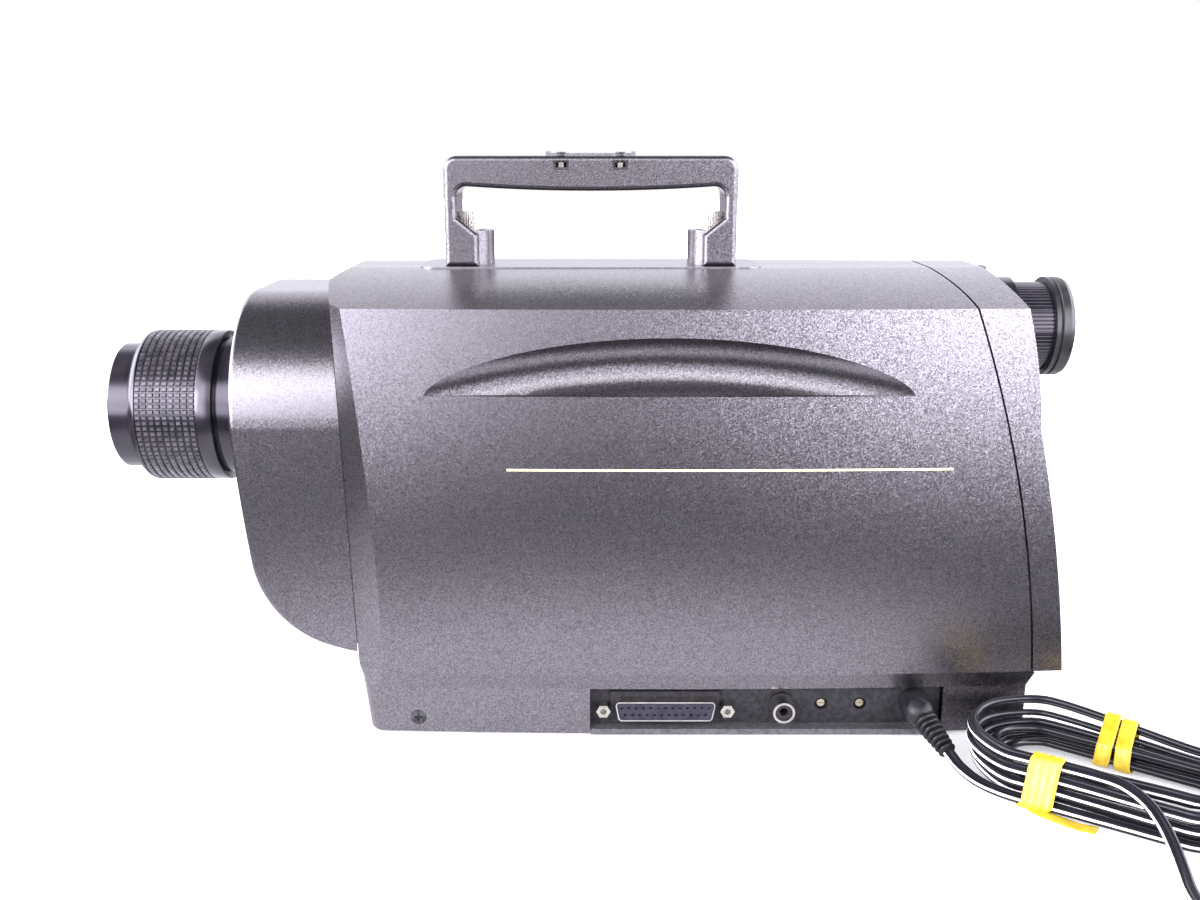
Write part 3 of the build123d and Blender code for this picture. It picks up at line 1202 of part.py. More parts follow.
def make_eyepiece():
    """The eyepiece: fixed body, knurled dioptre ring, rubber eyecup and glass."""
    back = BULKHEAD_X + BULKHEAD_THICKNESS
    floor = back + EYE_FLANGE
    well = DIOPTRE_RADIUS + SLIP_CLEARANCE
    body = turned_x([(back, EYE_TUBE_BORE_RADIUS), (back, EYE_COLLAR_RADIUS),
                     (EYE_COLLAR_END_X, EYE_COLLAR_RADIUS),
                     (EYE_COLLAR_END_X, well), (floor, well), (floor, EYE_TUBE_RADIUS),
                     (EYE_TUBE_END_X, EYE_TUBE_RADIUS), (EYE_TUBE_END_X, EYE_TUBE_BORE_RADIUS)], EYE_AXIS_Z)
    bore = EYE_TUBE_RADIUS + RUN_CLEARANCE
    ring = turned_x([(DIOPTRE_START_X, bore), (DIOPTRE_START_X, DIOPTRE_RADIUS),
                     (DIOPTRE_END_X, DIOPTRE_RADIUS),
                     (DIOPTRE_END_X, bore)], EYE_AXIS_Z)
    grooves = []
    for i in range(DIOPTRE_KNURLS):
        turn = 2 * math.pi * i / DIOPTRE_KNURLS
        y = DIOPTRE_RADIUS * math.cos(turn)
        z = EYE_AXIS_Z + DIOPTRE_RADIUS * math.sin(turn)
        grooves.append(rod_x(EYE_COLLAR_END_X, EYECUP_START_X, DIOPTRE_KNURL_RADIUS, y, z))
    ring = ring - grooves
    grip = DIOPTRE_RADIUS + RUN_CLEARANCE
    groove_x = EYECUP_START_X + EYECUP_FLANGE
    nose = REAR_X - EYECUP_NOSE_RADIUS
    turn = EYECUP_NOSE_RADIUS * (1 - math.sqrt(2) / 2)
    outline = [
        (EYECUP_START_X, grip), (EYECUP_START_X, EYECUP_RADIUS), (groove_x, EYECUP_RADIUS),
        (groove_x + EYECUP_GROOVE / 2, EYECUP_RADIUS - EYECUP_GROOVE_DEPTH),
        (groove_x + EYECUP_GROOVE, EYECUP_RADIUS), (nose, EYECUP_RADIUS),
        (REAR_X - turn, EYECUP_RADIUS - turn), (REAR_X, EYECUP_RADIUS - EYECUP_NOSE_RADIUS),
        (REAR_X, EYECUP_BORE_RADIUS + EYECUP_LAND), (REAR_X - EYECUP_LAND, EYECUP_BORE_RADIUS),
        (EYE_TUBE_END_X + SLIP_CLEARANCE, EYECUP_BORE_RADIUS), (EYE_TUBE_END_X + SLIP_CLEARANCE, bore),
        (DIOPTRE_END_X + RUN_CLEARANCE, bore), (DIOPTRE_END_X + RUN_CLEARANCE, grip),
    ]
    cup = turned_x(outline, EYE_AXIS_Z)
    glass_x = EYE_TUBE_END_X - EYE_LENS_DROP - EYE_LENS_THICKNESS
    glass_radius = EYE_TUBE_BORE_RADIUS - RUN_CLEARANCE
    glass = lens_solid(glass_x, EYE_LENS_THICKNESS, glass_radius, EYE_LENS_SAG, EYE_AXIS_Z)
    return body, ring, cup, glass


def make_selector():
    """The field selector's scalloped knob and its shaft."""
    end = SELECTOR_START_X + SELECTOR_LENGTH
    knob = rod_x(SELECTOR_START_X, end, SELECTOR_RADIUS, SELECTOR_Y, SELECTOR_Z)
    cuts = []
    for i in range(SELECTOR_SCALLOPS):
        turn = 2 * math.pi * i / SELECTOR_SCALLOPS
        y = SELECTOR_Y + (SELECTOR_RADIUS + SELECTOR_SCALLOP_RADIUS / 2) * math.cos(turn)
        z = SELECTOR_Z + (SELECTOR_RADIUS + SELECTOR_SCALLOP_RADIUS / 2) * math.sin(turn)
        cuts.append(rod_x(SELECTOR_START_X, end, SELECTOR_SCALLOP_RADIUS, y, z))
    knob = knob - cuts
    half = SELECTOR_MARK / 2
    knob -= box_between((end - SELECTOR_MARK, SELECTOR_Y - half, SELECTOR_Z),
                        (end, SELECTOR_Y + half, SELECTOR_Z + SELECTOR_RADIUS))
    shaft_end = SELECTOR_START_X
    shaft = rod_x(shaft_end - SELECTOR_SHAFT_LENGTH, shaft_end, SELECTOR_SHAFT_RADIUS, SELECTOR_Y, SELECTOR_Z)
    return knob + shaft


def make_bench():
    """The optical bench and the posts it stands on."""
    bench = box_between((BENCH_START_X, -BENCH_HALF_WIDTH, BENCH_Z),
                        (BENCH_END_X, BENCH_HALF_WIDTH, BENCH_Z + BENCH_THICKNESS))
    posts = []
    for x in (BENCH_START_X + POST_INSET, BENCH_END_X - POST_INSET):
        for y in (POST_INSET - BENCH_HALF_WIDTH, BENCH_HALF_WIDTH - POST_INSET):
            posts.append(rod_z(SILL_TOP_Z, BENCH_Z, POST_RADIUS, x, y))
    return bench, Compound(posts)


def make_spectrometer():
    """The optics on the bench: aperture mirror, slit, collimator, grating and sensor."""
    deck = BENCH_Z + BENCH_THICKNESS
    tilt = Pos(MIRROR_X, 0, LENS_AXIS_Z) * Rot(0, 90 - MIRROR_TILT, 0)
    mirror_disc = tilt * Cylinder(MIRROR_RADIUS, MIRROR_THICKNESS)
    hole = tilt * Cylinder(SLIT_GAP * 2, MIRROR_THICKNESS * 2)
    mirror_disc -= hole
    half = MIRROR_MOUNT_LENGTH / 2
    wide = MIRROR_MOUNT_WIDTH / 2
    mount = box_between((MIRROR_X - half, -wide, deck), (MIRROR_X + half, wide, LENS_AXIS_Z))
    mount -= tilt * Cylinder(MIRROR_RADIUS + FIT_CLEARANCE, MIRROR_THICKNESS + FIT_CLEARANCE)
    mount = mount.solids().sort_by(Axis.Z)[0]
    slit_top = LENS_AXIS_Z + SLIT_HEIGHT / 4
    slit_end = SLIT_X + SLIT_THICKNESS
    slit = box_between((SLIT_X, -SLIT_WIDTH / 2, deck), (slit_end, SLIT_WIDTH / 2, slit_top))
    slit -= box_between((SLIT_X, -SLIT_GAP, LENS_AXIS_Z - SLIT_LENGTH / 2),
                        (SLIT_X + SLIT_THICKNESS, SLIT_GAP, LENS_AXIS_Z + SLIT_LENGTH / 2))
    collimator = rod_x(COLLIMATOR_X, COLLIMATOR_X + COLLIMATOR_THICKNESS, COLLIMATOR_RADIUS, COLLIMATOR_Y,
                       deck + COLLIMATOR_RADIUS)
    grating = box_between((0, 0, deck), (GRATING_THICKNESS, GRATING_SIZE, deck + GRATING_SIZE))
    grating = Pos(GRATING_X, GRATING_Y, 0) * Rot(0, 0, -GRATING_TURN) * grating
    board = box_between((SENSOR_X, SENSOR_Y - SENSOR_BOARD_WIDTH / 2, deck),
                        (SENSOR_X + SENSOR_BOARD_THICKNESS, SENSOR_Y + SENSOR_BOARD_WIDTH / 2 - SENSOR_HEIGHT,
                         deck + SENSOR_BOARD_HEIGHT))
    sensor_y = SENSOR_Y - SENSOR_HEIGHT / 2
    sensor = box_between((SENSOR_X + SENSOR_BOARD_THICKNESS, sensor_y - SENSOR_WIDTH / 2,
                          deck + SENSOR_BOARD_HEIGHT / 2 - SENSOR_HEIGHT / 2),
                         (SENSOR_X + SENSOR_BOARD_THICKNESS + SENSOR_THICKNESS, sensor_y + SENSOR_WIDTH / 2,
                          deck + SENSOR_BOARD_HEIGHT / 2 + SENSOR_HEIGHT / 2))
    return mirror_disc, mount, slit, collimator, grating, board, sensor


def make_board():
    """The main circuit board and its standoffs."""
    board = box_between((BOARD_START_X, -BOARD_HALF_WIDTH, BOARD_Z),
                        (BOARD_END_X, BOARD_HALF_WIDTH, BOARD_Z + BOARD_THICKNESS))
    for x in (BENCH_START_X + POST_INSET, BENCH_END_X - POST_INSET):
        for y in (POST_INSET - BENCH_HALF_WIDTH, BENCH_HALF_WIDTH - POST_INSET):
            board -= rod_z(BOARD_Z - OVERRUN, BOARD_Z + OVERRUN, POST_RADIUS + SLIP_CLEARANCE, x, y)
    standoffs = []
    middle_x = (BOARD_START_X + BOARD_END_X) / 2
    for x in (BOARD_START_X + STANDOFF_INSET, middle_x, BOARD_END_X - STANDOFF_INSET):
        for y in (STANDOFF_INSET - BOARD_HALF_WIDTH, BOARD_HALF_WIDTH - STANDOFF_INSET):
            standoffs.append(rod_z(SILL_TOP_Z, BOARD_Z, STANDOFF_RADIUS, x, y))
    return board, Compound(standoffs)


def hank_place(x, y, z):
    """A point of the hank's own frame in the instrument's frame."""
    turn = math.radians(HANK_TURN)
    return Vector(HANK_CENTRE_X + x * math.cos(turn) - y * math.sin(turn),
                  HANK_CENTRE_Y + x * math.sin(turn) + y * math.cos(turn), z)


def hank_lateral(k):
    """How far to the side the hank's run number k lies."""
    turn = k if k <= HANK_HALF_TURN_COUNT else 2 * HANK_HALF_TURN_COUNT - k
    side = -1 if turn % 2 == 0 else 1
    return side * (HANK_WIDTH / 2 - HANK_STEP * (turn // 2))


def hank_edges():
    """The hank's path: straight runs and half turns that spiral in, climb along one run, and spiral out."""
    edges = []
    half = HANK_RUN / 2
    low = HANK_FLOOR_Z
    high = HANK_FLOOR_Z + HANK_LAYER
    last = 2 * HANK_HALF_TURN_COUNT
    for k in range(last + 1):
        way = 1 if k % 2 == 0 else -1
        y = hank_lateral(k)
        z = low if k < HANK_HALF_TURN_COUNT else high
        start = hank_place(-way * half, y, z if k != HANK_HALF_TURN_COUNT else low)
        end_x = way * half if k != last else HANK_LAST_RUN - half
        end = hank_place(end_x, y, z)
        if k == HANK_HALF_TURN_COUNT:
            level = hank_place(0, y, low) - hank_place(-way * half, y, low)
            middle = (start + end) * 0.5
            lift = TangentArc(start, middle, tangent=level)
            edges += [lift, TangentArc(middle, end, tangent=lift % 1)]
        else:
            edges.append(Line(start, end))
        if k != last:
            other = hank_lateral(k + 1)
            radius = abs(other - y) / 2
            reach = hank_place(way * (half + radius), (y + other) / 2, z)
            edges.append(ThreePointArc(end, reach, hank_place(way * half, other, z)))
    return edges


def cord_radii(points):
    """The radius of each corner of a free cord, as large as its two runs allow."""
    radii = []
    for before, here, after in zip(points, points[1:], points[2:]):
        one = here - before
        two = after - here
        turn = math.radians(one.get_angle(two))
        radii.append(0.45 * min(one.length, two.length) / math.tan(turn / 2))
    return radii


def cord_tube(points):
    """A round tube along straight runs joined by tangent arcs."""
    radii = cord_radii(points)
    path = FilletPolyline(*points, radius=radii)
    start = Plane(origin=points[0], z_dir=points[1] - points[0])
    tube = sweep(start * Circle(CORD_DIAMETER / 2), path=path)
    return tube, path.length, radii


def lead_points():
    """The cord from the strain relief to the start of the hank, chosen by hand."""
    start, end = relief_ends()
    first = end + (end - start).normalized() * LEAD_FIRST_RUN
    hank_start = hank_place(-HANK_RUN / 2, hank_lateral(0), HANK_FLOOR_Z)
    before = hank_place(-HANK_RUN / 2 - LEAD_LAST_RUN, hank_lateral(0), HANK_FLOOR_Z)
    return [end, first, Vector(135.8, -108.0, 2.3), before, hank_start]


def tail_points():
    """The cord from the top of the hank to its inline connector, chosen by hand."""
    last = hank_lateral(2 * HANK_HALF_TURN_COUNT)
    start = hank_place(HANK_LAST_RUN - HANK_RUN / 2, last, HANK_FLOOR_Z + HANK_LAYER)
    spots = [(9.0, -26.0, 7.6), (18.0, -29.5, 6.6), (25.0, -37.0, 4.2), (30.0, -46.5, 2.6),
             (33.5, -57.5, 2.6), (39.5, -67.5, 4.0), (47.5, -75.5, 4.7)]
    return [start] + [hank_place(*spot) for spot in spots]


def path_samples(edges, step):
    """Points along a chain of edges, at most a step apart."""
    points = []
    for edge in edges:
        count = max(2, math.ceil(edge.length / step))
        points += [edge @ (i / count) for i in range(count)]
    return points


def least_self_gap(edges):
    """The least gap of the tube to itself, measured on points along its path."""
    step = CORD_DIAMETER / 2
    points = path_samples(edges, step)
    skip = math.ceil(3 * CORD_DIAMETER / step)
    gaps = [(a - b).length for i, a in enumerate(points) for b in points[i + skip:]]
    return min(gaps) - CORD_DIAMETER


def make_hank():
    """The hank as one unbroken tube."""
    edges = hank_edges()
    path = Wire(edges)
    start = Plane(origin=edges[0] @ 0, z_dir=edges[0] % 0)
    tube = sweep(start * Circle(CORD_DIAMETER / 2), path=path)
    print("hank length", round(path.length, 1), "least gap to itself", round(least_self_gap(edges), 2))
    area = math.pi * (CORD_DIAMETER / 2) ** 2
    print("hank volume", round(tube.volume), "section times length", round(area * path.length))
    return tube


def tie_band(low_y, high_y, x):
    """A flat tie round one side of the hank."""
    low_z = HANK_FLOOR_Z - CORD_DIAMETER / 2 - TIE_CLEARANCE
    high_z = HANK_FLOOR_Z + HANK_LAYER + CORD_DIAMETER / 2 + TIE_CLEARANCE
    width = high_y - low_y
    height = high_z - low_z
    corner = TIE_CORNER + TIE_THICKNESS
    outer = RectangleRounded(width + 2 * TIE_THICKNESS, height + 2 * TIE_THICKNESS, corner)
    band = extrude(Plane.YZ * (outer - RectangleRounded(width, height, TIE_CORNER)), TIE_WIDTH / 2, both=True)
    centre = hank_place(x, (low_y + high_y) / 2, (low_z + high_z) / 2)
    return Pos(*centre) * Rot(0, 0, HANK_TURN) * band


def make_ties():
    """The tie on the near side of the hank and the double tie on its far side."""
    margin = CORD_DIAMETER / 2 + TIE_CLEARANCE
    near = tie_band(hank_lateral(0) - margin, hank_lateral(HANK_HALF_TURN_COUNT) + margin, TIE_NEAR_X)
    low = hank_lateral(HANK_HALF_TURN_COUNT - 1) - margin
    high = hank_lateral(1) + margin
    far = [tie_band(low, high, TIE_FAR_X + i * TIE_FAR_SPACING) for i in (0, 1)]
    return near, Compound(far)


def make_connector(points):
    """The inline connector at the far end of the cord."""
    way = (points[-1] - points[-2]).normalized()
    plane = Plane(origin=points[-1], z_dir=way)
    stand = (Align.CENTER, Align.CENTER, Align.MIN)
    neck = Cylinder(CONNECTOR_NECK_RADIUS, CONNECTOR_NECK_LENGTH, align=stand)
    body = Cylinder(CONNECTOR_RADIUS, CONNECTOR_LENGTH, align=stand)
    rise = CONNECTOR_RADIUS - points[-1].Z
    solid = neck + Pos(0, 0, CONNECTOR_NECK_LENGTH) * body
    placed = plane.location * solid
    low = placed.bounding_box().min.Z
    print("connector lowest point", round(low, 2), "needs a rise of", round(rise, 2))
    return placed


body_front = front_solid(0)
left_cover, right_cover = make_covers(body_front)
save(left_cover, "left_cover")
save(right_cover, "right_cover")
save(make_nose(body_front), "nose_cover")
save(make_rear_cover(), "rear_cover")
save(make_base(), "base_plate")
save(make_side_screws(), "side_screws")
save(make_feet(), "feet")
save(make_tripod_bush(), "tripod_bush")
save(make_panel(), "connector_panel")

dsub_shell, dsub_bezel, dsub_insulator, jackscrews = make_dsub()
save(dsub_shell, "dsub_shell")
save(dsub_bezel, "dsub_bezel")
save(dsub_insulator, "dsub_insulator")
save(jackscrews, "dsub_jackscrews")

phono_sleeve, phono_core, phono_ring = make_phono()
save(phono_sleeve, "phono_sleeve")
save(phono_core, "phono_insulator")
save(phono_ring, "phono_ring")

save(make_trimmer_screw(TRIMMER_X), "gain_trimmer")
save(make_trimmer_screw(TRIMMER_X + TRIMMER_SPACING), "zero_trimmer")
save(make_trimmer_bodies(), "trimmer_bodies")
save(make_power_jack(), "power_jack")
save(make_plug(), "power_plug")
save(make_relief(), "strain_relief")

save(make_handle(), "handle")
save(make_handle_plate(), "handle_plate")
save(make_thumbscrew(-BOSS_X), "front_thumbscrew")
save(make_thumbscrew(BOSS_X), "rear_thumbscrew")
save(make_anchor(), "handle_anchor")
save(make_top_plate(), "accessory_plate")
top_screws, top_nuts = make_top_screws()
save(top_screws, "accessory_screws")
save(top_nuts, "accessory_nuts")

save(make_front_barrel(), "front_barrel")
front_glass_x = FRONT_X + FRONT_LENS_DROP
front_glass = lens_solid(front_glass_x, FRONT_LENS_THICKNESS, FRONT_LENS_RADIUS, FRONT_LENS_SAG,
                         LENS_AXIS_Z)
save(front_glass, "front_lens")
save(make_focus_ring(), "focus_ring")
save(make_lens_barrel(), "lens_barrel")
rear_glass_x = FRONT_X + FRONT_BARREL_LENGTH + SLIP_CLEARANCE
save(lens_solid(rear_glass_x, REAR_LENS_THICKNESS, REAR_LENS_RADIUS, REAR_LENS_SAG, LENS_AXIS_Z), "rear_lens")
save(make_lock_ring(), "lens_lock_ring")

save(make_bulkhead(), "rear_bulkhead")
eye_body, dioptre_ring, eyecup, eye_glass = make_eyepiece()
save(eye_body, "eyepiece_body")
save(dioptre_ring, "dioptre_ring")
save(eyecup, "eyecup")
save(eye_glass, "eyepiece_lens")
save(make_selector(), "selector_knob")

bench, posts = make_bench()
save(bench, "optical_bench")
save(posts, "bench_posts")
aperture_mirror, mirror_mount, slit_plate, collimator_mirror, *rest = make_spectrometer()
grating, sensor_board, sensor = rest
save(aperture_mirror, "aperture_mirror")
save(mirror_mount, "mirror_mount")
save(slit_plate, "slit_plate")
save(collimator_mirror, "collimator_mirror")
save(grating, "grating")
save(sensor_board, "sensor_board")
save(sensor, "sensor_array")
main_board, standoffs = make_board()
save(main_board, "main_board")
save(standoffs, "board_standoffs")

lead, lead_length, lead_radii = cord_tube(lead_points())
tail, tail_length, tail_radii = cord_tube(tail_points())
print("lead length", round(lead_length, 1), "radii", [round(r, 1) for r in lead_radii])
print("tail length", round(tail_length, 1), "radii", [round(r, 1) for r in tail_radii])
cord_area = math.pi * (CORD_DIAMETER / 2) ** 2
print("lead volume", round(lead.volume), "section times length", round(cord_area * lead_length))
print("tail volume", round(tail.volume), "section times length", round(cord_area * tail_length))
save(lead, "cord_lead")
save(tail, "cord_tail")
save(make_hank(), "cord_hank")
near_tie, far_tie = make_ties()
save(near_tie, "near_tie")
save(far_tie, "far_tie")
save(make_connector(tail_points()), "cord_connector")
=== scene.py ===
# %% [markdown]
# # A bench spectroradiometer with its power cord
#
# The instrument is a cast and painted housing with a lens on its nose, a carrying handle on top,
# an eyepiece at the back and a bay of connectors low on its left side. A flat twin cord is plugged
# into the bay and lies wound up beside it.
#
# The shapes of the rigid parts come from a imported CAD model, which is loaded first and stays fixed.
# This script gives them their paint, metal and rubber, and adds what CAD does badly: the cord, its
# ties, the blocks of the focus grip and other small repeated detail.

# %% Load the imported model
import json
import math

import bpy
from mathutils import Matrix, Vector


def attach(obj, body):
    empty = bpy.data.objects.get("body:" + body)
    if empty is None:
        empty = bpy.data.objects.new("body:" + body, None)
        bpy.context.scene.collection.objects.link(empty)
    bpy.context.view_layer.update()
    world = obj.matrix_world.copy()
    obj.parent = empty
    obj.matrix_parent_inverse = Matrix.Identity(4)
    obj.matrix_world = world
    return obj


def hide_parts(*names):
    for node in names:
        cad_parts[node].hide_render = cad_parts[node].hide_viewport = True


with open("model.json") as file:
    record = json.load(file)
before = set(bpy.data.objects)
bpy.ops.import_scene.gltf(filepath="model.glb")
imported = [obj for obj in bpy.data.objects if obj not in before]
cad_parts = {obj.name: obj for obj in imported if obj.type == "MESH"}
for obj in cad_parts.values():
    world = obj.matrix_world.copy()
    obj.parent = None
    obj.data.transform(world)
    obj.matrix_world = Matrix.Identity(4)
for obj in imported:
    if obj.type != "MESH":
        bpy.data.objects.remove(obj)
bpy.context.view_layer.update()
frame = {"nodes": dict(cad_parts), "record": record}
nodes = frame["nodes"]

# %% [markdown]
# ## The camera
#
# The camera stands where the photographer stood: close in front of the left side, a little above
# the handle, and looking down by about fourteen degrees. Its distance was worked out from the
# ellipses of the lens rings. A real lens length is given in millimetres on a 36 mm sensor.

# %% Camera
CAMERA_PLACE = (0.0036, -0.496, 0.222)
CAMERA_DOWN = 14.4
CAMERA_LENS = 36.75
CAMERA_SENSOR = 36.0
CAMERA_NEAR = 0.01


def place_object(name, data):
    """A new object in the scene, at the origin."""
    piece = bpy.data.objects.new(name, data)
    bpy.context.scene.collection.objects.link(piece)
    return piece


camera_data = bpy.data.cameras.new("bench_camera")
camera_data.sensor_width = CAMERA_SENSOR
camera_data.lens = CAMERA_LENS
camera_data.clip_start = CAMERA_NEAR
camera = place_object("bench_camera", camera_data)
camera.location = CAMERA_PLACE
camera.rotation_euler = (math.radians(90 - CAMERA_DOWN), 0, 0)
bpy.context.scene.camera = camera
print("camera at", CAMERA_PLACE)

# %% [markdown]
# ## Helpers for node trees
#
# Every material and every Geometry Nodes tree below is built from small steps: make a node, set
# its values, link it to another. These helpers keep the steps short. An input is fed with a node,
# which means that node's first output, with a (node, output) pair, or with a plain value. A socket
# is picked by its name, or by its number where a node has several of one name. The Mix node is
# such a case, because it keeps hidden sockets for numbers and vectors beside those for colours.

# %% Node helpers
MIX_SHARE = 0
MIX_FIRST = 6
MIX_SECOND = 7
MIX_COLOUR = 2


def feed(tree, node, socket, source):
    """Feeds an input with a node's output or with a plain value."""
    if isinstance(source, bpy.types.Node):
        source = (source, 0)
    if isinstance(source, tuple) and isinstance(source[0], bpy.types.Node):
        tree.links.new(source[0].outputs[source[1]], node.inputs[socket])
    else:
        node.inputs[socket].default_value = source


def add_node(tree, kind, inputs=None, **settings):
    """A new node with its settings and its fed inputs."""
    node = tree.nodes.new(kind)
    for key, value in settings.items():
        setattr(node, key, value)
    for socket, source in (inputs or {}).items():
        feed(tree, node, socket, source)
    return node


def calculate(tree, operation, *terms):
    """A Math node on its terms."""
    return add_node(tree, "ShaderNodeMath", dict(enumerate(terms)), operation=operation)


def spread(tree, source, low, high, at_low=0.0, at_high=1.0):
    """A Map Range node: what it gives at the low and at the high end of a range."""
    return add_node(tree, "ShaderNodeMapRange", {
        "Value": source, "From Min": low, "From Max": high, "To Min": at_low, "To Max": at_high})


def two_colours(tree, share, dark, light, low=0.0, high=1.0):
    """A colour ramp from a dark colour to a light one."""
    ramp = add_node(tree, "ShaderNodeValToRGB", {"Fac": share})
    for element, place in zip(ramp.color_ramp.elements, (low, high)):
        element.position = place
    for element, colour in zip(ramp.color_ramp.elements, (dark, light)):
        element.color = (*colour, 1)
    return ramp


print("node helpers ready")

# %% [markdown]
# ## The light
#
# The picture was taken on a white table under soft light. Satin paint shows its surroundings as
# soft bands, so the surroundings matter more than any lamp. The world is made of three ramps over
# height, from straight down to straight up: the room in front, the bright wall behind, and a band
# at eye level that grows stronger to the left and right, where the ends of the housing catch their
# shine. For the camera itself the world is plain white.

# %% World ramps
WORLD_BAND = [(0.0, 0.0), (0.41, 0.0), (0.49, 1.0), (0.76, 1.0), (0.90, 0.0)]
WORLD_FRONT = [(0.0, 0.04), (0.42, 0.06), (0.51, 1.0), (0.56, 0.9), (0.64, 0.12), (0.90, 0.12), (1.0, 0.25)]
WORLD_BACK = [(0.0, 0.5), (0.46, 1.0), (0.60, 1.9), (0.80, 1.6), (0.92, 0.35), (1.0, 0.25)]
WORLD_TINT = Vector((1.0, 0.99, 1.09))
WORLD_SIDES = 7.6
SIDES_FROM = 0.12
SIDES_TO = 0.40
WALL_FROM = 0.30
WALL_TO = 0.80


def grey_ramp(tree, share, stops):
    """A colour ramp from places and grey levels."""
    ramp = add_node(tree, "ShaderNodeValToRGB", {"Fac": share})
    ramp.color_ramp.interpolation = "EASE"
    elements = ramp.color_ramp.elements
    while len(elements) < len(stops):
        elements.new(0.5)
    for element, (place, level) in zip(elements, stops):
        element.position = place
        element.color = (*(WORLD_TINT * level), 1)
    return ramp


print("world ramps of", len(WORLD_BAND), len(WORLD_FRONT), "and", len(WORLD_BACK), "stops")

# %% [markdown]
# ### Mix the three ramps
#
# The direction of a ray picks its shade. Its height runs along the ramps, how far it points to the
# back mixes the room with the wall, and how far it points sideways strengthens the band.

# %% World
world = bpy.data.worlds.new("studio")
bpy.context.scene.world = world
world.use_nodes = True
sky = world.node_tree
sky.nodes.clear()
sky_way = add_node(sky, "ShaderNodeTexCoord")
sky_split = add_node(sky, "ShaderNodeSeparateXYZ", {0: (sky_way, "Generated")})
sky_height = spread(sky, (sky_split, "Z"), -1.0, 1.0)
sky_behind = spread(sky, (sky_split, "Y"), WALL_FROM, WALL_TO)
sky_across = calculate(sky, "ABSOLUTE", (sky_split, "X"))
sky_sides = spread(sky, sky_across, SIDES_FROM, SIDES_TO, 0.0, WORLD_SIDES)
sky_band = add_node(sky, "ShaderNodeVectorMath", {
    0: grey_ramp(sky, sky_height, WORLD_BAND), "Scale": sky_sides}, operation="SCALE")
sky_front = add_node(sky, "ShaderNodeVectorMath", {
    0: sky_band, 1: grey_ramp(sky, sky_height, WORLD_FRONT)}, operation="ADD")
sky_mix = add_node(sky, "ShaderNodeMix", {
    MIX_SHARE: sky_behind, MIX_FIRST: sky_front, MIX_SECOND: grey_ramp(sky, sky_height, WORLD_BACK)},
    data_type="RGBA")
sky_light = add_node(sky, "ShaderNodeBackground", {"Color": (sky_mix, MIX_COLOUR), "Strength": 1.0})
sky_white = add_node(sky, "ShaderNodeBackground", {"Color": (1, 1, 1, 1), "Strength": 1.0})
sky_path = add_node(sky, "ShaderNodeLightPath")
sky_choice = add_node(sky, "ShaderNodeMixShader", {
    "Fac": (sky_path, "Is Camera Ray"), 1: sky_light, 2: sky_white})
add_node(sky, "ShaderNodeOutputWorld", {"Surface": sky_choice})
bpy.context.scene.view_settings.view_transform = "Standard"
print("world made")

# %% [markdown]
# ### Two softboxes
#
# Large lamps give soft shadows. One softbox stands high in front. A smaller one stands to the left
# and shines on the nose, which faces away from the first. A lamp shines along its own -Z, so each
# is turned until that axis points at its aim.


# %% Lamps
def softbox(name, place, aim, width, height, power):
    """A rectangular lamp that faces a point."""
    lamp = bpy.data.lights.new(name, "AREA")
    lamp.shape = "RECTANGLE"
    lamp.size = width
    lamp.size_y = height
    lamp.energy = power
    holder = place_object(name, lamp)
    holder.location = place
    way = Vector(aim) - Vector(place)
    holder.rotation_euler = way.to_track_quat("-Z", "Y").to_euler()
    return holder


softbox("front_softbox", place=(-0.15, -1.25, 0.85), aim=(0.0, 0.0, 0.12), width=1.3, height=0.7, power=7.5)
softbox("left_softbox", place=(-1.15, -0.75, 0.42), aim=(-0.1, 0.0, 0.1), width=0.7, height=0.6, power=15.0)
print("two softboxes")

# %% [markdown]
# ## The table
#
# The table is a wide white plane. It isn't part of the instrument. The helper that makes it from
# points and faces makes the cord, the ties, the focus ring's body and the side line too.

# %% Table
TABLE_HALF = 4.0
TABLE_FRONT = -0.8


def mesh_piece(name, vertices, faces, smooth=False, crease=None):
    """A mesh object from vertices in metres. Edges steeper than the crease, in degrees, stay sharp."""
    mesh = bpy.data.meshes.new(name)
    mesh.from_pydata(vertices, [], faces)
    mesh.polygons.foreach_set("use_smooth", [smooth] * len(faces))
    if crease:
        mesh.set_sharp_from_angle(angle=math.radians(crease))
    return place_object(name, mesh)


table = mesh_piece("table", [(-TABLE_HALF, TABLE_FRONT, 0), (TABLE_HALF, TABLE_FRONT, 0),
                             (TABLE_HALF, TABLE_HALF, 0), (-TABLE_HALF, TABLE_HALF, 0)], [(0, 1, 2, 3)])
print("table", 2 * TABLE_HALF, "m wide")

# %% [markdown]
# ### The table's finish
#
# To the camera the table glows a little, so that it stays white but still takes the soft shadow. In
# reflections it is light close to the instrument and grows dark further to the front and the sides,
# as the real table does where the room begins. The Light Path node tells these kinds of ray apart.

# %% Table finish
TABLE_WHITE = (0.88, 0.88, 0.90, 1)
TABLE_GLOW = 0.30
TABLE_DARK_FROM = 0.165
TABLE_DARK_TO = 0.29
TABLE_NEAR_GREY = 0.64
TABLE_FAR_GREY = 0.01
TABLE_LONG_SHARE = 0.75
TABLE_BACK_LIMIT = 0.05

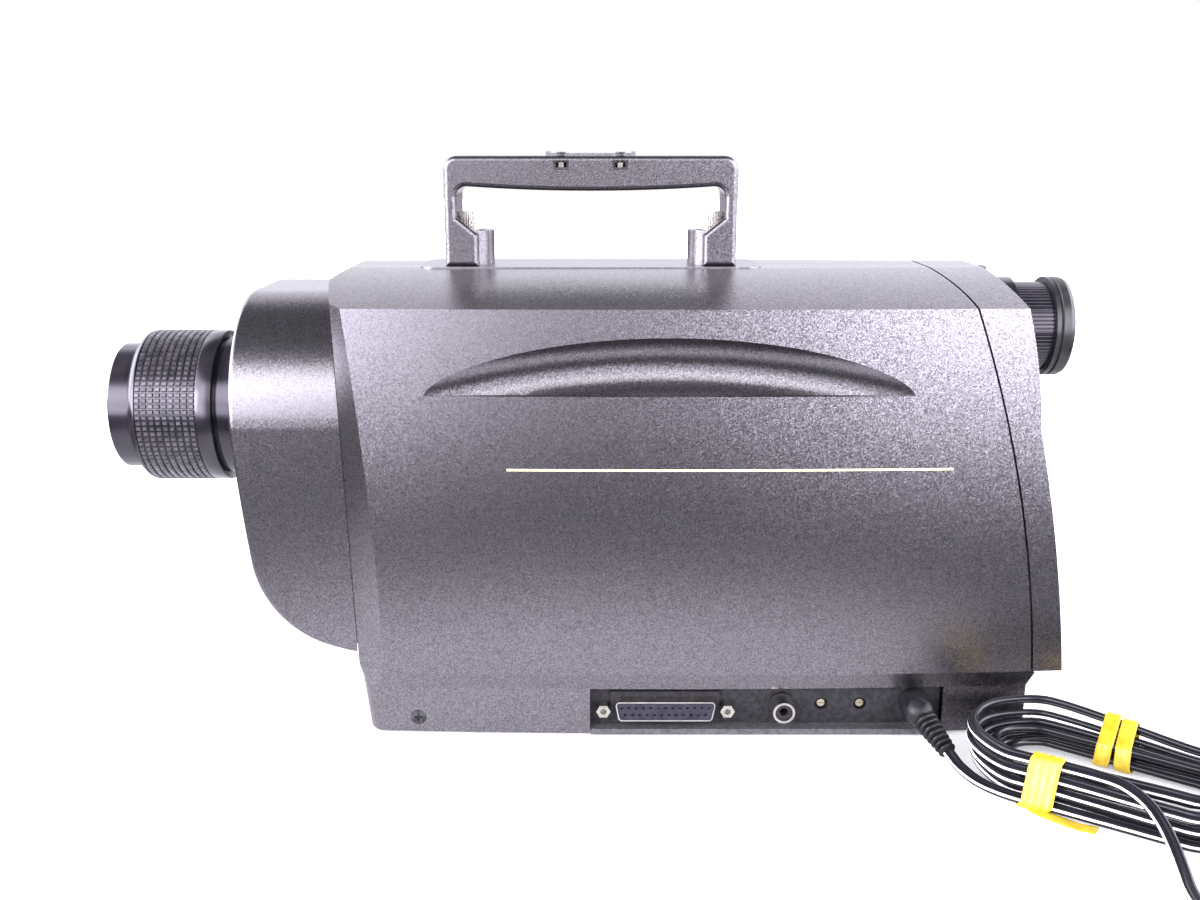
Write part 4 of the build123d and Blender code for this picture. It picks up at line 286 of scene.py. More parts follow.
table_paint = bpy.data.materials.new("table_white")
table_paint.use_nodes = True
paper = table_paint.node_tree
paper.nodes.clear()
paper_place = add_node(paper, "ShaderNodeTexCoord")
paper_split = add_node(paper, "ShaderNodeSeparateXYZ", {0: (paper_place, "Object")})
paper_spot = add_node(paper, "ShaderNodeCombineXYZ", {
    "X": calculate(paper, "MULTIPLY", (paper_split, "X"), TABLE_LONG_SHARE),
    "Y": calculate(paper, "MINIMUM", (paper_split, "Y"), TABLE_BACK_LIMIT)})
paper_far = add_node(paper, "ShaderNodeVectorMath", {0: paper_spot}, operation="LENGTH")
paper_reach = (paper_far, "Value")
paper_grey = spread(paper, paper_reach, TABLE_DARK_TO, TABLE_DARK_FROM, TABLE_FAR_GREY, TABLE_NEAR_GREY)
paper_mirrored = add_node(paper, "ShaderNodeBsdfDiffuse", {"Color": paper_grey})
paper_matt = add_node(paper, "ShaderNodeBsdfDiffuse", {"Color": TABLE_WHITE})
paper_glow = add_node(paper, "ShaderNodeEmission", {"Color": (1, 1, 1, 1), "Strength": TABLE_GLOW})
paper_sum = add_node(paper, "ShaderNodeAddShader", {0: paper_matt, 1: paper_glow})
paper_path = add_node(paper, "ShaderNodeLightPath")
paper_choice = add_node(paper, "ShaderNodeMixShader", {
    "Fac": (paper_path, "Is Glossy Ray"), 1: paper_matt, 2: paper_mirrored})
paper_view = add_node(paper, "ShaderNodeMixShader", {
    "Fac": (paper_path, "Is Camera Ray"), 1: paper_choice, 2: paper_sum})
add_node(paper, "ShaderNodeOutputMaterial", {"Surface": paper_view})
table.data.materials.append(table_paint)
print("table finish made")

# %% [markdown]
# ## Finishes
#
# Each finish is a Principled shader whose colour, gloss and fine relief mostly come from noise on
# Object coordinates. All finished pieces sit at the origin with their place in the mesh, so one
# coordinate serves the whole instrument, and the grain has the same size everywhere. Noise rarely
# leaves the middle of its range, so the ramps stretch only that middle.

# %% Finish helpers
NOISE_LOW = 0.3
NOISE_HIGH = 0.7
RELIEF_DETAIL = 3.0


def new_finish(name, roughness, metallic=0.0, specular=0.5, values=None):
    """A material with a Principled shader and its plain values."""
    material = bpy.data.materials.new(name)
    material.use_nodes = True
    plain = {"Roughness": roughness, "Metallic": metallic, "Specular IOR Level": specular, **(values or {})}
    for socket, value in plain.items():
        feed_shader(material, socket, value)
    return material


def feed_shader(material, socket, source):
    """Feeds an input of the material's Principled shader."""
    feed(material.node_tree, material.node_tree.nodes["Principled BSDF"], socket, source)


def object_noise(tree, scale, detail=2.0, stretch=(1, 1, 1)):
    """Noise on Object coordinates, so many waves to the metre."""
    place = add_node(tree, "ShaderNodeTexCoord")
    mapping = add_node(tree, "ShaderNodeMapping", {"Vector": (place, "Object"), "Scale": stretch})
    return add_node(tree, "ShaderNodeTexNoise", {"Vector": mapping, "Scale": scale, "Detail": detail})


def vary_colour(material, dark, light, scale, low=0.35, high=0.65):
    """The base colour wanders between two colours."""
    noise = object_noise(material.node_tree, scale)
    feed_shader(material, "Base Color", two_colours(material.node_tree, noise, dark, light, low, high))


def vary_gloss(material, smooth, rough, scale):
    """The roughness wanders between two values."""
    tree = material.node_tree
    noise = object_noise(tree, scale)
    feed_shader(material, "Roughness", spread(tree, noise, NOISE_LOW, NOISE_HIGH, smooth, rough))


def fine_relief(material, scale, height, strength=0.6, stretch=(1, 1, 1)):
    """A bump from noise, with its height in metres."""
    noise = object_noise(material.node_tree, scale, RELIEF_DETAIL, stretch)
    feed_shader(material, "Normal", add_node(material.node_tree, "ShaderNodeBump", {
        "Height": noise, "Strength": strength, "Distance": height}))


print("finish helpers ready")

# %% [markdown]
# ### Graphite paint
#
# The housing wears a dark satin paint full of fine metal flakes. Close up it looks like grey sand
# with a violet tinge. A Voronoi texture cuts the surface into flakes. Each flake takes its own
# shade, and leans its own way by a few degrees, so the flakes sparkle where light grazes them. A
# bump from noise was tried first. It left dark specks wherever the noise was steep.

# %% Paint
FLAKES_TO_METRE = 3200.0
FLAKE_LEAN = 0.10
CLOUDS_TO_METRE = 900.0
CLOUD_SHARE = 0.16
DARKEST_FLAKES = 0.12
GLOSS_SPREAD = 0.012
GLOSS_TO_METRE = 1400.0


def flake_paint(name, dark, light, roughness):
    """Satin paint with metal flakes about 0.3 mm across."""
    material = new_finish(name, roughness, 1.0)
    tree = material.node_tree
    place = add_node(tree, "ShaderNodeTexCoord")
    flakes = add_node(tree, "ShaderNodeTexVoronoi", {"Vector": (place, "Object"), "Scale": FLAKES_TO_METRE})
    flake = add_node(tree, "ShaderNodeSeparateXYZ", {0: (flakes, "Color")})
    cloud = object_noise(tree, CLOUDS_TO_METRE, 1.0)
    both = calculate(tree, "MULTIPLY_ADD", cloud, CLOUD_SHARE, (flake, "X"))
    feed_shader(material, "Base Color", two_colours(tree, both, dark, light, DARKEST_FLAKES))
    face = add_node(tree, "ShaderNodeNewGeometry")
    centred = add_node(tree, "ShaderNodeVectorMath", {
        0: (flakes, "Color"), 1: (0.5, 0.5, 0.5)}, operation="SUBTRACT")
    little = add_node(tree, "ShaderNodeVectorMath", {0: centred, "Scale": FLAKE_LEAN}, operation="SCALE")
    leaned = add_node(tree, "ShaderNodeVectorMath", {0: little, 1: (face, "Normal")}, operation="ADD")
    unit = add_node(tree, "ShaderNodeVectorMath", {0: leaned}, operation="NORMALIZE")
    feed_shader(material, "Normal", unit)
    vary_gloss(material, roughness - GLOSS_SPREAD, roughness + GLOSS_SPREAD, GLOSS_TO_METRE)
    return material


graphite_paint = flake_paint("graphite_paint", (0.112, 0.105, 0.116), (0.268, 0.249, 0.276), 0.28)
handle_paint = flake_paint("handle_paint", (0.092, 0.085, 0.094), (0.205, 0.190, 0.209), 0.32)
plate_paint = flake_paint("plate_paint", (0.17, 0.165, 0.18), (0.28, 0.27, 0.29), 0.34)
print("paints made")

# %% [markdown]
# ### Dark metals and plastics
#
# The lens and eyepiece rings are aluminium, turned on a lathe and anodised black, so they are
# glossy and darker than paint. The base, panel and sockets are matt. Each still has some grain.

# %% Dark finishes
anodised_black = new_finish("anodised_black", 0.19, specular=0.7, values={
    "Specular Tint": (0.92, 0.86, 1.0, 1)})
vary_colour(anodised_black, (0.007, 0.006, 0.009), (0.016, 0.014, 0.018), 90.0)
fine_relief(anodised_black, 900.0, 0.00002, 0.4, (0.12, 1, 1))

grip_black = new_finish("grip_black", 0.3, 0.5, specular=0.6)
vary_colour(grip_black, (0.045, 0.042, 0.050), (0.10, 0.092, 0.108), 300.0)
vary_gloss(grip_black, 0.26, 0.4, 200.0)

base_black = new_finish("base_black", 0.6)
vary_colour(base_black, (0.035, 0.034, 0.037), (0.07, 0.068, 0.074), 700.0)
fine_relief(base_black, 1200.0, 0.00008)

panel_black = new_finish("panel_black", 0.5, specular=0.22)
vary_colour(panel_black, (0.010, 0.009, 0.011), (0.022, 0.020, 0.024), 600.0)
fine_relief(panel_black, 1500.0, 0.00006)

connector_plastic = new_finish("connector_plastic", 0.4, specular=0.3)
vary_colour(connector_plastic, (0.010, 0.009, 0.016), (0.022, 0.020, 0.034), 350.0)
fine_relief(connector_plastic, 1600.0, 0.00003)

foot_rubber = new_finish("foot_rubber", 0.8)
vary_colour(foot_rubber, (0.02, 0.02, 0.02), (0.045, 0.045, 0.045), 400.0)
fine_relief(foot_rubber, 900.0, 0.0001)

eye_rubber = new_finish("eye_rubber", 0.34, specular=0.55)
vary_colour(eye_rubber, (0.011, 0.011, 0.013), (0.026, 0.026, 0.028), 160.0)
vary_gloss(eye_rubber, 0.28, 0.42, 120.0)
fine_relief(eye_rubber, 1100.0, 0.00002)
print("dark finishes made")

# %% [markdown]
# ### Bright metals
#
# Screws, sockets and the connector's shell are plated or turned. Plating shows the room almost like
# a mirror, and brass is softer and warmer. Noise on the gloss and a faint relief keep them from
# looking like chrome. The milled alloy has streaks along its length, which are stretched noise.


# %% Bright finishes
def bright_metal(name, dark, light, smooth, rough, streak=(1, 1, 1)):
    """A bright metal of uneven gloss."""
    material = new_finish(name, smooth, 1.0)
    vary_colour(material, dark, light, 220.0, NOISE_LOW, NOISE_HIGH)
    vary_gloss(material, smooth, rough, 300.0)
    fine_relief(material, 700.0, 0.00002, 0.5, streak)
    return material


nickel = bright_metal("nickel", (0.42, 0.40, 0.37), (0.60, 0.58, 0.54), 0.16, 0.28)
machined_steel = bright_metal("machined_steel", (0.22, 0.22, 0.24), (0.34, 0.34, 0.36), 0.3, 0.45)
brass = bright_metal("brass", (0.34, 0.30, 0.22), (0.50, 0.46, 0.36), 0.28, 0.45)
alloy = bright_metal("alloy", (0.34, 0.34, 0.36), (0.46, 0.46, 0.48), 0.34, 0.5, (0.2, 1, 1))
mirror_silver = bright_metal("mirror_silver", (0.80, 0.80, 0.82), (0.88, 0.88, 0.90), 0.03, 0.07)

black_steel = new_finish("black_steel", 0.38, 0.7)
vary_colour(black_steel, (0.03, 0.03, 0.034), (0.075, 0.075, 0.08), 500.0)
vary_gloss(black_steel, 0.3, 0.48, 400.0)
print("bright finishes made")

# %% [markdown]
# ### Glass, boards and trim
#
# The glass has a thin coating that tints its reflections. What is inside the housing never shows
# from outside, but it has its finish too.

# %% Glass, boards and trim
lens_glass = new_finish("lens_glass", 0.03, values={
    "Base Color": (0.82, 0.86, 0.95, 1), "Transmission Weight": 0.92, "IOR": 1.52,
    "Coat Weight": 0.6, "Coat Tint": (0.55, 0.50, 0.95, 1)})
vary_gloss(lens_glass, 0.02, 0.05, 40.0)

board_green = new_finish("board_green", 0.35)
vary_colour(board_green, (0.012, 0.11, 0.04), (0.03, 0.20, 0.08), 120.0, 0.45, 0.55)
fine_relief(board_green, 500.0, 0.00004)

sensor_ceramic = new_finish("sensor_ceramic", 0.3)
vary_colour(sensor_ceramic, (0.15, 0.13, 0.12), (0.24, 0.21, 0.19), 260.0)

line_cream = new_finish("line_cream", 0.45)
vary_colour(line_cream, (0.72, 0.60, 0.26), (0.84, 0.73, 0.38), 500.0)
fine_relief(line_cream, 1500.0, 0.00002)
print("glass, board and trim finishes made")

# %% [markdown]
# ## Paint the CAD parts
#
# Most rigid parts keep their CAD shape and only get a finish. The record names a finish slot for
# each node, so one table from slot to material covers them all. The wide connector's metal flange is
# the one exception: it is painted the panel's black as painted shade, because the bay's shadow
# hides its shine.

# %% Assign finishes
FINISHES = {
    "graphite_paint": graphite_paint, "handle_paint": handle_paint, "plate_paint": plate_paint,
    "base_black": base_black, "panel_black": panel_black, "foot_rubber": foot_rubber,
    "steel": machined_steel, "black_steel": black_steel, "nickel": nickel, "dsub_plastic": connector_plastic,
    "brass": brass, "alloy": alloy, "anodised_black": anodised_black, "grip_rubber": grip_black,
    "lens_glass": lens_glass, "eye_rubber": eye_rubber, "front_mirror": mirror_silver,
    "board_green": board_green, "sensor_ceramic": sensor_ceramic,
}


def wear(piece, material):
    """The piece wears only this material."""
    piece.data.materials.clear()
    piece.data.materials.append(material)


painted = 0
for subpart in frame["record"]["subparts"]:
    finish = FINISHES.get(subpart["material_slot"])
    if finish:
        wear(nodes[subpart["node"]], finish)
        painted += 1
# The flange's black is painted shade: the bay's shadow hides the shine of its metal.
wear(nodes["dsub_bezel"], panel_black)
print("painted", painted, "nodes")

# %% [markdown]
# ## The cord's route
#
# The cord is one flexible length, so it is one smooth curve from the strain relief to the inline
# connector. First it drops to the table, then it winds round and round as a hank, climbs to a
# second layer, unwinds, and runs off to its connector. The hank has its own frame, turned to lie
# beside the instrument. All numbers here are millimetres, and they turn into metres at the end.

# %% Cord measures
MM = 0.001
CORD_WIDTH = 4.2
RELIEF_START = Vector((124.92, -79.99, 10.75))
RELIEF_WAY = Vector((0.3049, -0.9009, -0.3090)).normalized()
RELIEF_LENGTH = 15.0
HANK_CENTRE = Vector((183.0, -110.0, 0.0))
HANK_ANGLE = math.radians(-33.0)
HANK_ALONG = Vector((math.cos(HANK_ANGLE), math.sin(HANK_ANGLE), 0))
HANK_ACROSS = Vector((-math.sin(HANK_ANGLE), math.cos(HANK_ANGLE), 0))
HANK_HALF_RUN = 22.0
HANK_HALF_WIDTH = 27.0


def hank_place(along, across, height):
    """A point of the hank's frame in the instrument's frame."""
    return HANK_CENTRE + HANK_ALONG * along + HANK_ACROSS * across + Vector((0, 0, height))


print("hank frame turned by", round(math.degrees(HANK_ANGLE)), "degrees")

# %% [markdown]
# ### How the turns settle
#
# A hand-wound hank is not as neat as a drawing. The near runs are pulled into a heap by their tie,
# and the upper turns ride up where they press on the instrument, most of all at the left end. Two
# tables say where each run lies at its left and at its right end: how far across, and how high.
# What lies both high and far to the left has also slipped a little further to the left.

# %% Settled runs
RUNS_LEFT = [
    (-27.6, 2.4), (26.5, 5.5), (-23.4, 3.2), (22.0, 4.2), (-19.0, 3.0), (17.6, 3.6), (-14.4, 3.2),
    (13.4, 4.6), (-12.2, 7.6), (14.6, 9.0), (-16.8, 12.0), (18.6, 10.5), (-25.6, 7.4), (22.8, 12.0),
    (-24.0, 11.6), (26.0, 16.0), (-22.0, 15.4)]
RUNS_RIGHT = [
    (-27.6, 2.4), (26.5, 2.4), (-23.0, 2.4), (22.2, 2.4), (-18.6, 2.7), (18.0, 2.6), (-14.2, 3.2),
    (14.0, 3.2), (-13.0, 8.6), (16.0, 7.2), (-17.4, 13.2), (20.3, 6.9), (-26.3, 6.6), (24.6, 6.9),
    (-24.6, 10.8), (22.6, 11.2), (-21.4, 14.8)]
SLIP = Vector((-3.4, 0.8, 0))
SLIP_LEFT_FROM = 8
SLIP_LEFT_OVER = 38
SLIP_HIGH_FROM = 4
SLIP_HIGH_OVER = 6


def clamped(value):
    """The value, kept between 0 and 1."""
    return min(1.0, max(0.0, value))


def run_spot(run, along):
    """Where a run lies across the hank, and how high, at a place along it."""
    share = clamped((along + HANK_HALF_RUN) / (2 * HANK_HALF_RUN))
    return Vector(RUNS_LEFT[run]).lerp(Vector(RUNS_RIGHT[run]), share)


def settled(along, across, height):
    """A point of the hank, slipped to the left where it is high."""
    left = clamped((-along - SLIP_LEFT_FROM) / SLIP_LEFT_OVER)
    high = clamped((height - SLIP_HIGH_FROM) / SLIP_HIGH_OVER)
    return hank_place(along, across, height) + SLIP * left * high


print("the hank has", len(RUNS_LEFT) - 1, "whole runs")

# %% [markdown]
# ### The turns
#
# A run goes straight along the hank, and half a circle of four points leads into the next run. The
# points of that half circle lie a little outside it, because a smooth curve cuts the corners
# between its control points. The last run leaves the hank soon after it begins.

# %% Hank points
END_POINTS = 4
END_STEP = 180 / END_POINTS
LAST_RUN_LEAVES = -0.35


def end_points(run, way):
    """The half circle of control points that leads from one run to the next."""
    here = run_spot(run, way * HANK_HALF_RUN)
    there = run_spot(run + 1, way * HANK_HALF_RUN)
    middle = (here + there) / 2
    widen = 1 / math.cos(math.radians(END_STEP / 2))
    reach = abs(there[0] - here[0]) / 2 * widen
    points = []
    for i in range(END_POINTS):
        turn = math.radians((i + 0.5) * END_STEP)
        along = way * (HANK_HALF_RUN + reach * math.sin(turn))
        across = middle[0] + (here[0] - middle[0]) * math.cos(turn) * widen
        height = middle[1] + (here[1] - middle[1]) * math.cos(turn)
        points.append(settled(along, across, height))
    return points


def hank_points():
    """Control points of all the turns."""
    points = []
    last = len(RUNS_LEFT) - 1
    for run in range(last + 1):
        way = 1 if run % 2 == 0 else -1
        for step in (-1, 0, 1) if run != last else (-1, LAST_RUN_LEAVES):
            along = way * step * HANK_HALF_RUN
            points.append(settled(along, *run_spot(run, along)))
        if run != last:
            points += end_points(run, way)
    return points


turn_points = hank_points()
print("hank has", len(turn_points), "control points")

# %% [markdown]
# ### One curve for the whole cord
#
# The lead from the plug, the turns and the tail to the connector make one list of control points.
# A NURBS curve through them stays smooth however they are spaced. It is turned into a mesh line
# once, and that line's vertices are the path that the cord's body and its ties follow.

# %% Whole route
LEAD_STEPS = (-1.5, 4.0, 7.5)
LEAD_LANDING = Vector((135.8, -108.0, 2.3))
LEAD_JOINS_AT = -31.0
LEAD_JOINS_HEIGHT = 2.6
TAIL_ROUTE = [
    (-1.0, -21.4, 14.9), (7.0, -23.0, 15.0), (15.5, -27.4, 13.0), (22.5, -35.0, 9.2), (28.5, -45.5, 5.0),
    (33.2, -57.3, 3.0), (39.5, -67.5, 4.0), (47.5, -75.5, 4.7)]
ROUTE_ORDER = 3
ROUTE_RESOLUTION = 12

relief_end = RELIEF_START + RELIEF_WAY * RELIEF_LENGTH
lead_points = [relief_end + RELIEF_WAY * step for step in LEAD_STEPS]
lead_points += [LEAD_LANDING, hank_place(LEAD_JOINS_AT, RUNS_LEFT[0][0], LEAD_JOINS_HEIGHT)]
route = lead_points + turn_points + [hank_place(*spot) for spot in TAIL_ROUTE]


def evaluated_mesh(piece):
    """A plain mesh of what an object looks like after its modifiers or its curve are worked out."""
    bpy.context.view_layer.update()
    return bpy.data.meshes.new_from_object(piece.evaluated_get(bpy.context.evaluated_depsgraph_get()))


route_data = bpy.data.curves.new("cord_route", "CURVE")
route_data.dimensions = "3D"
route_data.resolution_u = ROUTE_RESOLUTION
spline = route_data.splines.new("NURBS")
spline.points.add(len(route) - 1)
for point, place in zip(spline.points, route):
    point.co = (*(place * MM), 1)
spline.order_u = ROUTE_ORDER
spline.use_endpoint_u = True
route_object = place_object("cord_route", route_data)
route_mesh = evaluated_mesh(route_object)
path = [vertex.co.copy() for vertex in route_mesh.vertices]
cord_length = sum((b - a).length for a, b in zip(path, path[1:]))
bpy.data.objects.remove(route_object)
bpy.data.meshes.remove(route_mesh)
print("cord route", len(route), "control points, length", round(cord_length, 3), "m")

# %% [markdown]
# ## The cord's body
#
# The cord is a flat twin: two round wires side by side in one black jacket, with a groove between
# them and a pale stripe along one edge. A round bevel would lose all that, so the section is drawn
# as two joined circles, each an arc that ends where it meets the other.

# %% Cord section
LOBE_RADIUS = 1.18
LOBE_OFFSET = 0.92
SECTION_STEPS = 9


def cord_section():
    """The outline of the flat twin cord, from the striped edge round."""
    limit = math.pi - math.acos(LOBE_OFFSET / LOBE_RADIUS)
    outline = []
    for side in (1, -1):
        for i in range(SECTION_STEPS):
            angle = -limit + 2 * limit * i / (SECTION_STEPS - 1)
            if side < 0:
                angle += math.pi
            across = side * LOBE_OFFSET + LOBE_RADIUS * math.cos(angle)
            outline.append((across, LOBE_RADIUS * math.sin(angle)))
    return outline


section = cord_section()
print("cord section", len(section), "points, width", round(2 * (LOBE_OFFSET + LOBE_RADIUS), 2), "mm")

# %% [markdown]
# ### Sweep the section
#
# The section is swept along the path in code, because a curve's own bevel can't be rolled so freely.
# It is rolled about the path until the stripe lies outwards and down in every turn, and a slow
# swing of that roll keeps the strands from looking alike. The UV map holds the way round the
# section, which the stripe follows later.

# %% Sweep the cord
CORD_ROLL = math.radians(-32.0)
ROLL_SWING = 0.35
ROLL_PACE = 0.013
UV_RING_STEP = 0.01


def sweep_section(name, centres, outline, roll):
    """A closed section swept along points, with the way round it in its UV map."""
    count = len(outline)
    rings = len(centres)
    vertices = []
    for i, centre in enumerate(centres):
        way = (centres[min(i + 1, rings - 1)] - centres[max(i - 1, 0)]).normalized()
        side = way.cross(Vector((0, 0, 1))).normalized()
        up = side.cross(way)
        swung = roll + ROLL_SWING * math.sin(i * ROLL_PACE)
        wide = side * math.cos(swung) + up * math.sin(swung)
        thick = way.cross(wide)
        vertices += [centre + (wide * u + thick * v) * MM for u, v in outline]
    faces = []
    for i in range(rings - 1):
        for j in range(count):
            k = (j + 1) % count
            faces.append((i * count + j, i * count + k, (i + 1) * count + k, (i + 1) * count + j))
    faces.append(tuple(reversed(range(count))))
    faces.append(tuple(range((rings - 1) * count, rings * count)))
    piece = mesh_piece(name, vertices, faces, smooth=True)
    mesh = piece.data
    layer = mesh.uv_layers.new(name="around")
    for polygon in mesh.polygons:
        turns = [mesh.loops[loop].vertex_index % count for loop in polygon.loop_indices]
        wraps = max(turns) - min(turns) > count / 2
        for loop, turn in zip(polygon.loop_indices, turns):
            ring = mesh.loops[loop].vertex_index // count
            around = (turn + (count if wraps and turn == 0 else 0)) / count
            layer.data[loop].uv = (around, ring * UV_RING_STEP)
    return piece


cord = sweep_section("power_cord", path, section, CORD_ROLL)
print("cord mesh", len(cord.data.polygons), "faces")

# %% [markdown]
# ### Cord vinyl
#
# The jacket is glossy vinyl, almost black with a violet tinge. The stripe is printed on, so it is
# only a colour: a band of the UV map near the striped edge, with slightly uneven borders. The plug
# and the inline connector are moulded of a duller vinyl.

# %% Cord finish
STRIPE_CENTRE = 0.145
STRIPE_HALF = 0.024
STRIPE_EDGE = 0.012
STRIPE_UNEVEN = 0.018

cord_vinyl = new_finish("cord_vinyl", 0.15, specular=0.34)
tree = cord_vinyl.node_tree
around = add_node(tree, "ShaderNodeSeparateXYZ", {0: add_node(tree, "ShaderNodeUVMap", uv_map="around")})
ragged = calculate(tree, "MULTIPLY_ADD", object_noise(tree, 500.0), STRIPE_UNEVEN, (around, "X"))
offset = calculate(tree, "SUBTRACT", ragged, STRIPE_CENTRE + STRIPE_UNEVEN / 2)
distance = calculate(tree, "ABSOLUTE", offset)
stripe = spread(tree, distance, STRIPE_HALF, STRIPE_HALF + STRIPE_EDGE, 1.0, 0.0)
jacket = two_colours(tree, object_noise(tree, 130.0), (0.006, 0.0055, 0.008), (0.015, 0.014, 0.019))
coloured = add_node(tree, "ShaderNodeMix", {
    MIX_SHARE: stripe, MIX_FIRST: jacket, MIX_SECOND: (0.80, 0.79, 0.75, 1)}, data_type="RGBA")
feed_shader(cord_vinyl, "Base Color", (coloured, MIX_COLOUR))
fine_relief(cord_vinyl, 700.0, 0.00003)
wear(cord, cord_vinyl)

plug_vinyl = new_finish("plug_vinyl", 0.3, specular=0.24)
vary_colour(plug_vinyl, (0.006, 0.006, 0.007), (0.014, 0.013, 0.016), 200.0)
vary_gloss(plug_vinyl, 0.26, 0.42, 180.0)
fine_relief(plug_vinyl, 800.0, 0.00004)
for name in ("power_plug", "cord_connector"):
    wear(nodes[name], plug_vinyl)
print("cord finished")

# %% [markdown]
# ## Helpers for Geometry Nodes
#
# Some details are one small shape many times over. Geometry Nodes set such shapes out from a few
# named inputs, so a size is changed in one place. Each tree runs on an empty object, and the result
# is kept as a plain mesh, because every piece here is handed on as a mesh.


# %% Geometry Nodes helpers
def new_tree(name, inputs):
    """An empty Geometry Nodes tree with named inputs, given as {name: kind of socket}."""
    group = bpy.data.node_groups.new(name, "GeometryNodeTree")
    group.interface.new_socket("Geometry", in_out="INPUT", socket_type="NodeSocketGeometry")
    for label, kind in inputs.items():
        group.interface.new_socket(label, in_out="INPUT", socket_type="NodeSocket" + kind)
    group.interface.new_socket("Geometry", in_out="OUTPUT", socket_type="NodeSocketGeometry")
    return group, group.nodes.new("NodeGroupInput"), group.nodes.new("NodeGroupOutput")


def close_tree(tree, source, given, out):
    """Ends a tree with Realize Instances and Set Material."""
    real = add_node(tree, "GeometryNodeRealizeInstances", {"Geometry": source})
    dressed = add_node(tree, "GeometryNodeSetMaterial", {"Geometry": real, "Material": (given, "Material")})
    feed(tree, out, "Geometry", dressed)


def grow(name, tree, values):
    """Runs a tree on an empty object and keeps the result as a plain mesh."""
    piece = place_object(name, bpy.data.meshes.new(name))
    modifier = piece.modifiers.new("grow", "NODES")
    modifier.node_group = tree
    for item in tree.interface.items_tree:
        if item.item_type == "SOCKET" and item.in_out == "INPUT" and item.name in values:
            modifier[item.identifier] = values[item.name]
    mesh = evaluated_mesh(piece)
    piece.modifiers.clear()
    piece.data = mesh
    mesh.name = name
    print(name, len(mesh.polygons), "faces")
    return piece


print("geometry helpers ready")

# %% [markdown]
# ## The strain relief
#
# Where the cord leaves its plug, a soft tapered sleeve of rounded ribs keeps it from kinking. Each
# rib is the same squashed ball, a little smaller than the one before, so Geometry Nodes set them
# out: a line of points along the sleeve, one ball on each point, and a scale that falls with the
# point's number.

# %% Strain relief
RELIEF_RIBS = 7
RELIEF_PITCHES = 6.4
RIB_PITCH = RELIEF_LENGTH / RELIEF_PITCHES
RIB_LEAD = 0.4
RIB_RADIUS = 4.7
RIB_SHRINK = 0.945
RIB_FLATNESS = 0.34

tree, given, out = new_tree("ribbed sleeve", {
    "Ribs": "Int", "Start": "Vector", "Step": "Vector", "First Radius": "Float", "Shrink": "Float",
    "Flatness": "Float", "Turn": "Vector", "Material": "Material"})
line = add_node(tree, "GeometryNodeMeshLine", {
    "Count": (given, "Ribs"), "Start Location": (given, "Start"), "Offset": (given, "Step")})
ball = add_node(tree, "GeometryNodeMeshUVSphere", {"Segments": 24, "Rings": 12})
smooth = add_node(tree, "GeometryNodeSetShadeSmooth", {"Geometry": ball})
shrunk = calculate(tree, "POWER", (given, "Shrink"), add_node(tree, "GeometryNodeInputIndex"))
width = calculate(tree, "MULTIPLY", (given, "First Radius"), shrunk)
depth = calculate(tree, "MULTIPLY", width, (given, "Flatness"))
scale = add_node(tree, "ShaderNodeCombineXYZ", {"X": width, "Y": width, "Z": depth})
ribs = add_node(tree, "GeometryNodeInstanceOnPoints", {
    "Points": line, "Instance": smooth, "Rotation": (given, "Turn"), "Scale": scale})
close_tree(tree, ribs, given, out)

strain_relief = grow("ribbed_strain_relief", tree, {
    "Ribs": RELIEF_RIBS, "Start": tuple((RELIEF_START + RELIEF_WAY * RIB_LEAD) * MM),
    "Step": tuple(RELIEF_WAY * RIB_PITCH * MM), "First Radius": RIB_RADIUS * MM,
    "Shrink": RIB_SHRINK, "Flatness": RIB_FLATNESS,
    "Turn": tuple(RELIEF_WAY.to_track_quat("Z", "Y").to_euler()), "Material": plug_vinyl})

# %% [markdown]
# ## The ties
#
# Flat yellow ties hold the hank: one round its near side, and two round its far side. They are soft
# plastic, so a little light enters them and comes out warmer.

# %% Tie finish
tie_yellow = new_finish("tie_yellow", 0.32, values={
    "Subsurface Weight": 0.12, "Subsurface Radius": (0.004, 0.003, 0.0008)})
vary_colour(tie_yellow, (0.46, 0.31, 0.012), (0.62, 0.44, 0.03), 260.0)
vary_gloss(tie_yellow, 0.26, 0.42, 220.0)
fine_relief(tie_yellow, 600.0, 0.00005)
print("tie finish made")

# %% [markdown]
# ### A loop that hugs its strands
#
# A tie hugs what it holds, so its loop is worked out from the strands themselves: where they cross
# the tie's plane, the widest reach in every direction, plus half a strand. Two rounds of averaging
# take the corners off, and nothing sinks into the table.

# %% Tie loops
TIE_STEPS = 64
TIE_PLAY = 0.15
TIE_LOWEST = 0.55
TIE_SMOOTHINGS = 2
STRANDS_WITHIN = HANK_HALF_WIDTH + 4


def strands_at(along, side):
    """Where the cord crosses the plane of a tie, as (across, height) pairs in millimetres."""
    found = []
    for a, b in zip(path, path[1:]):
        one = a / MM - HANK_CENTRE
        two = b / MM - HANK_CENTRE
        low = one.dot(HANK_ALONG) - along
        high = two.dot(HANK_ALONG) - along
        if low * high <= 0 and low != high:
            spot = one.lerp(two, low / (low - high))
            across = spot.dot(HANK_ACROSS)
            if across * side > 0 and abs(across) < STRANDS_WITHIN:
                found.append((across, spot.z))
    return found


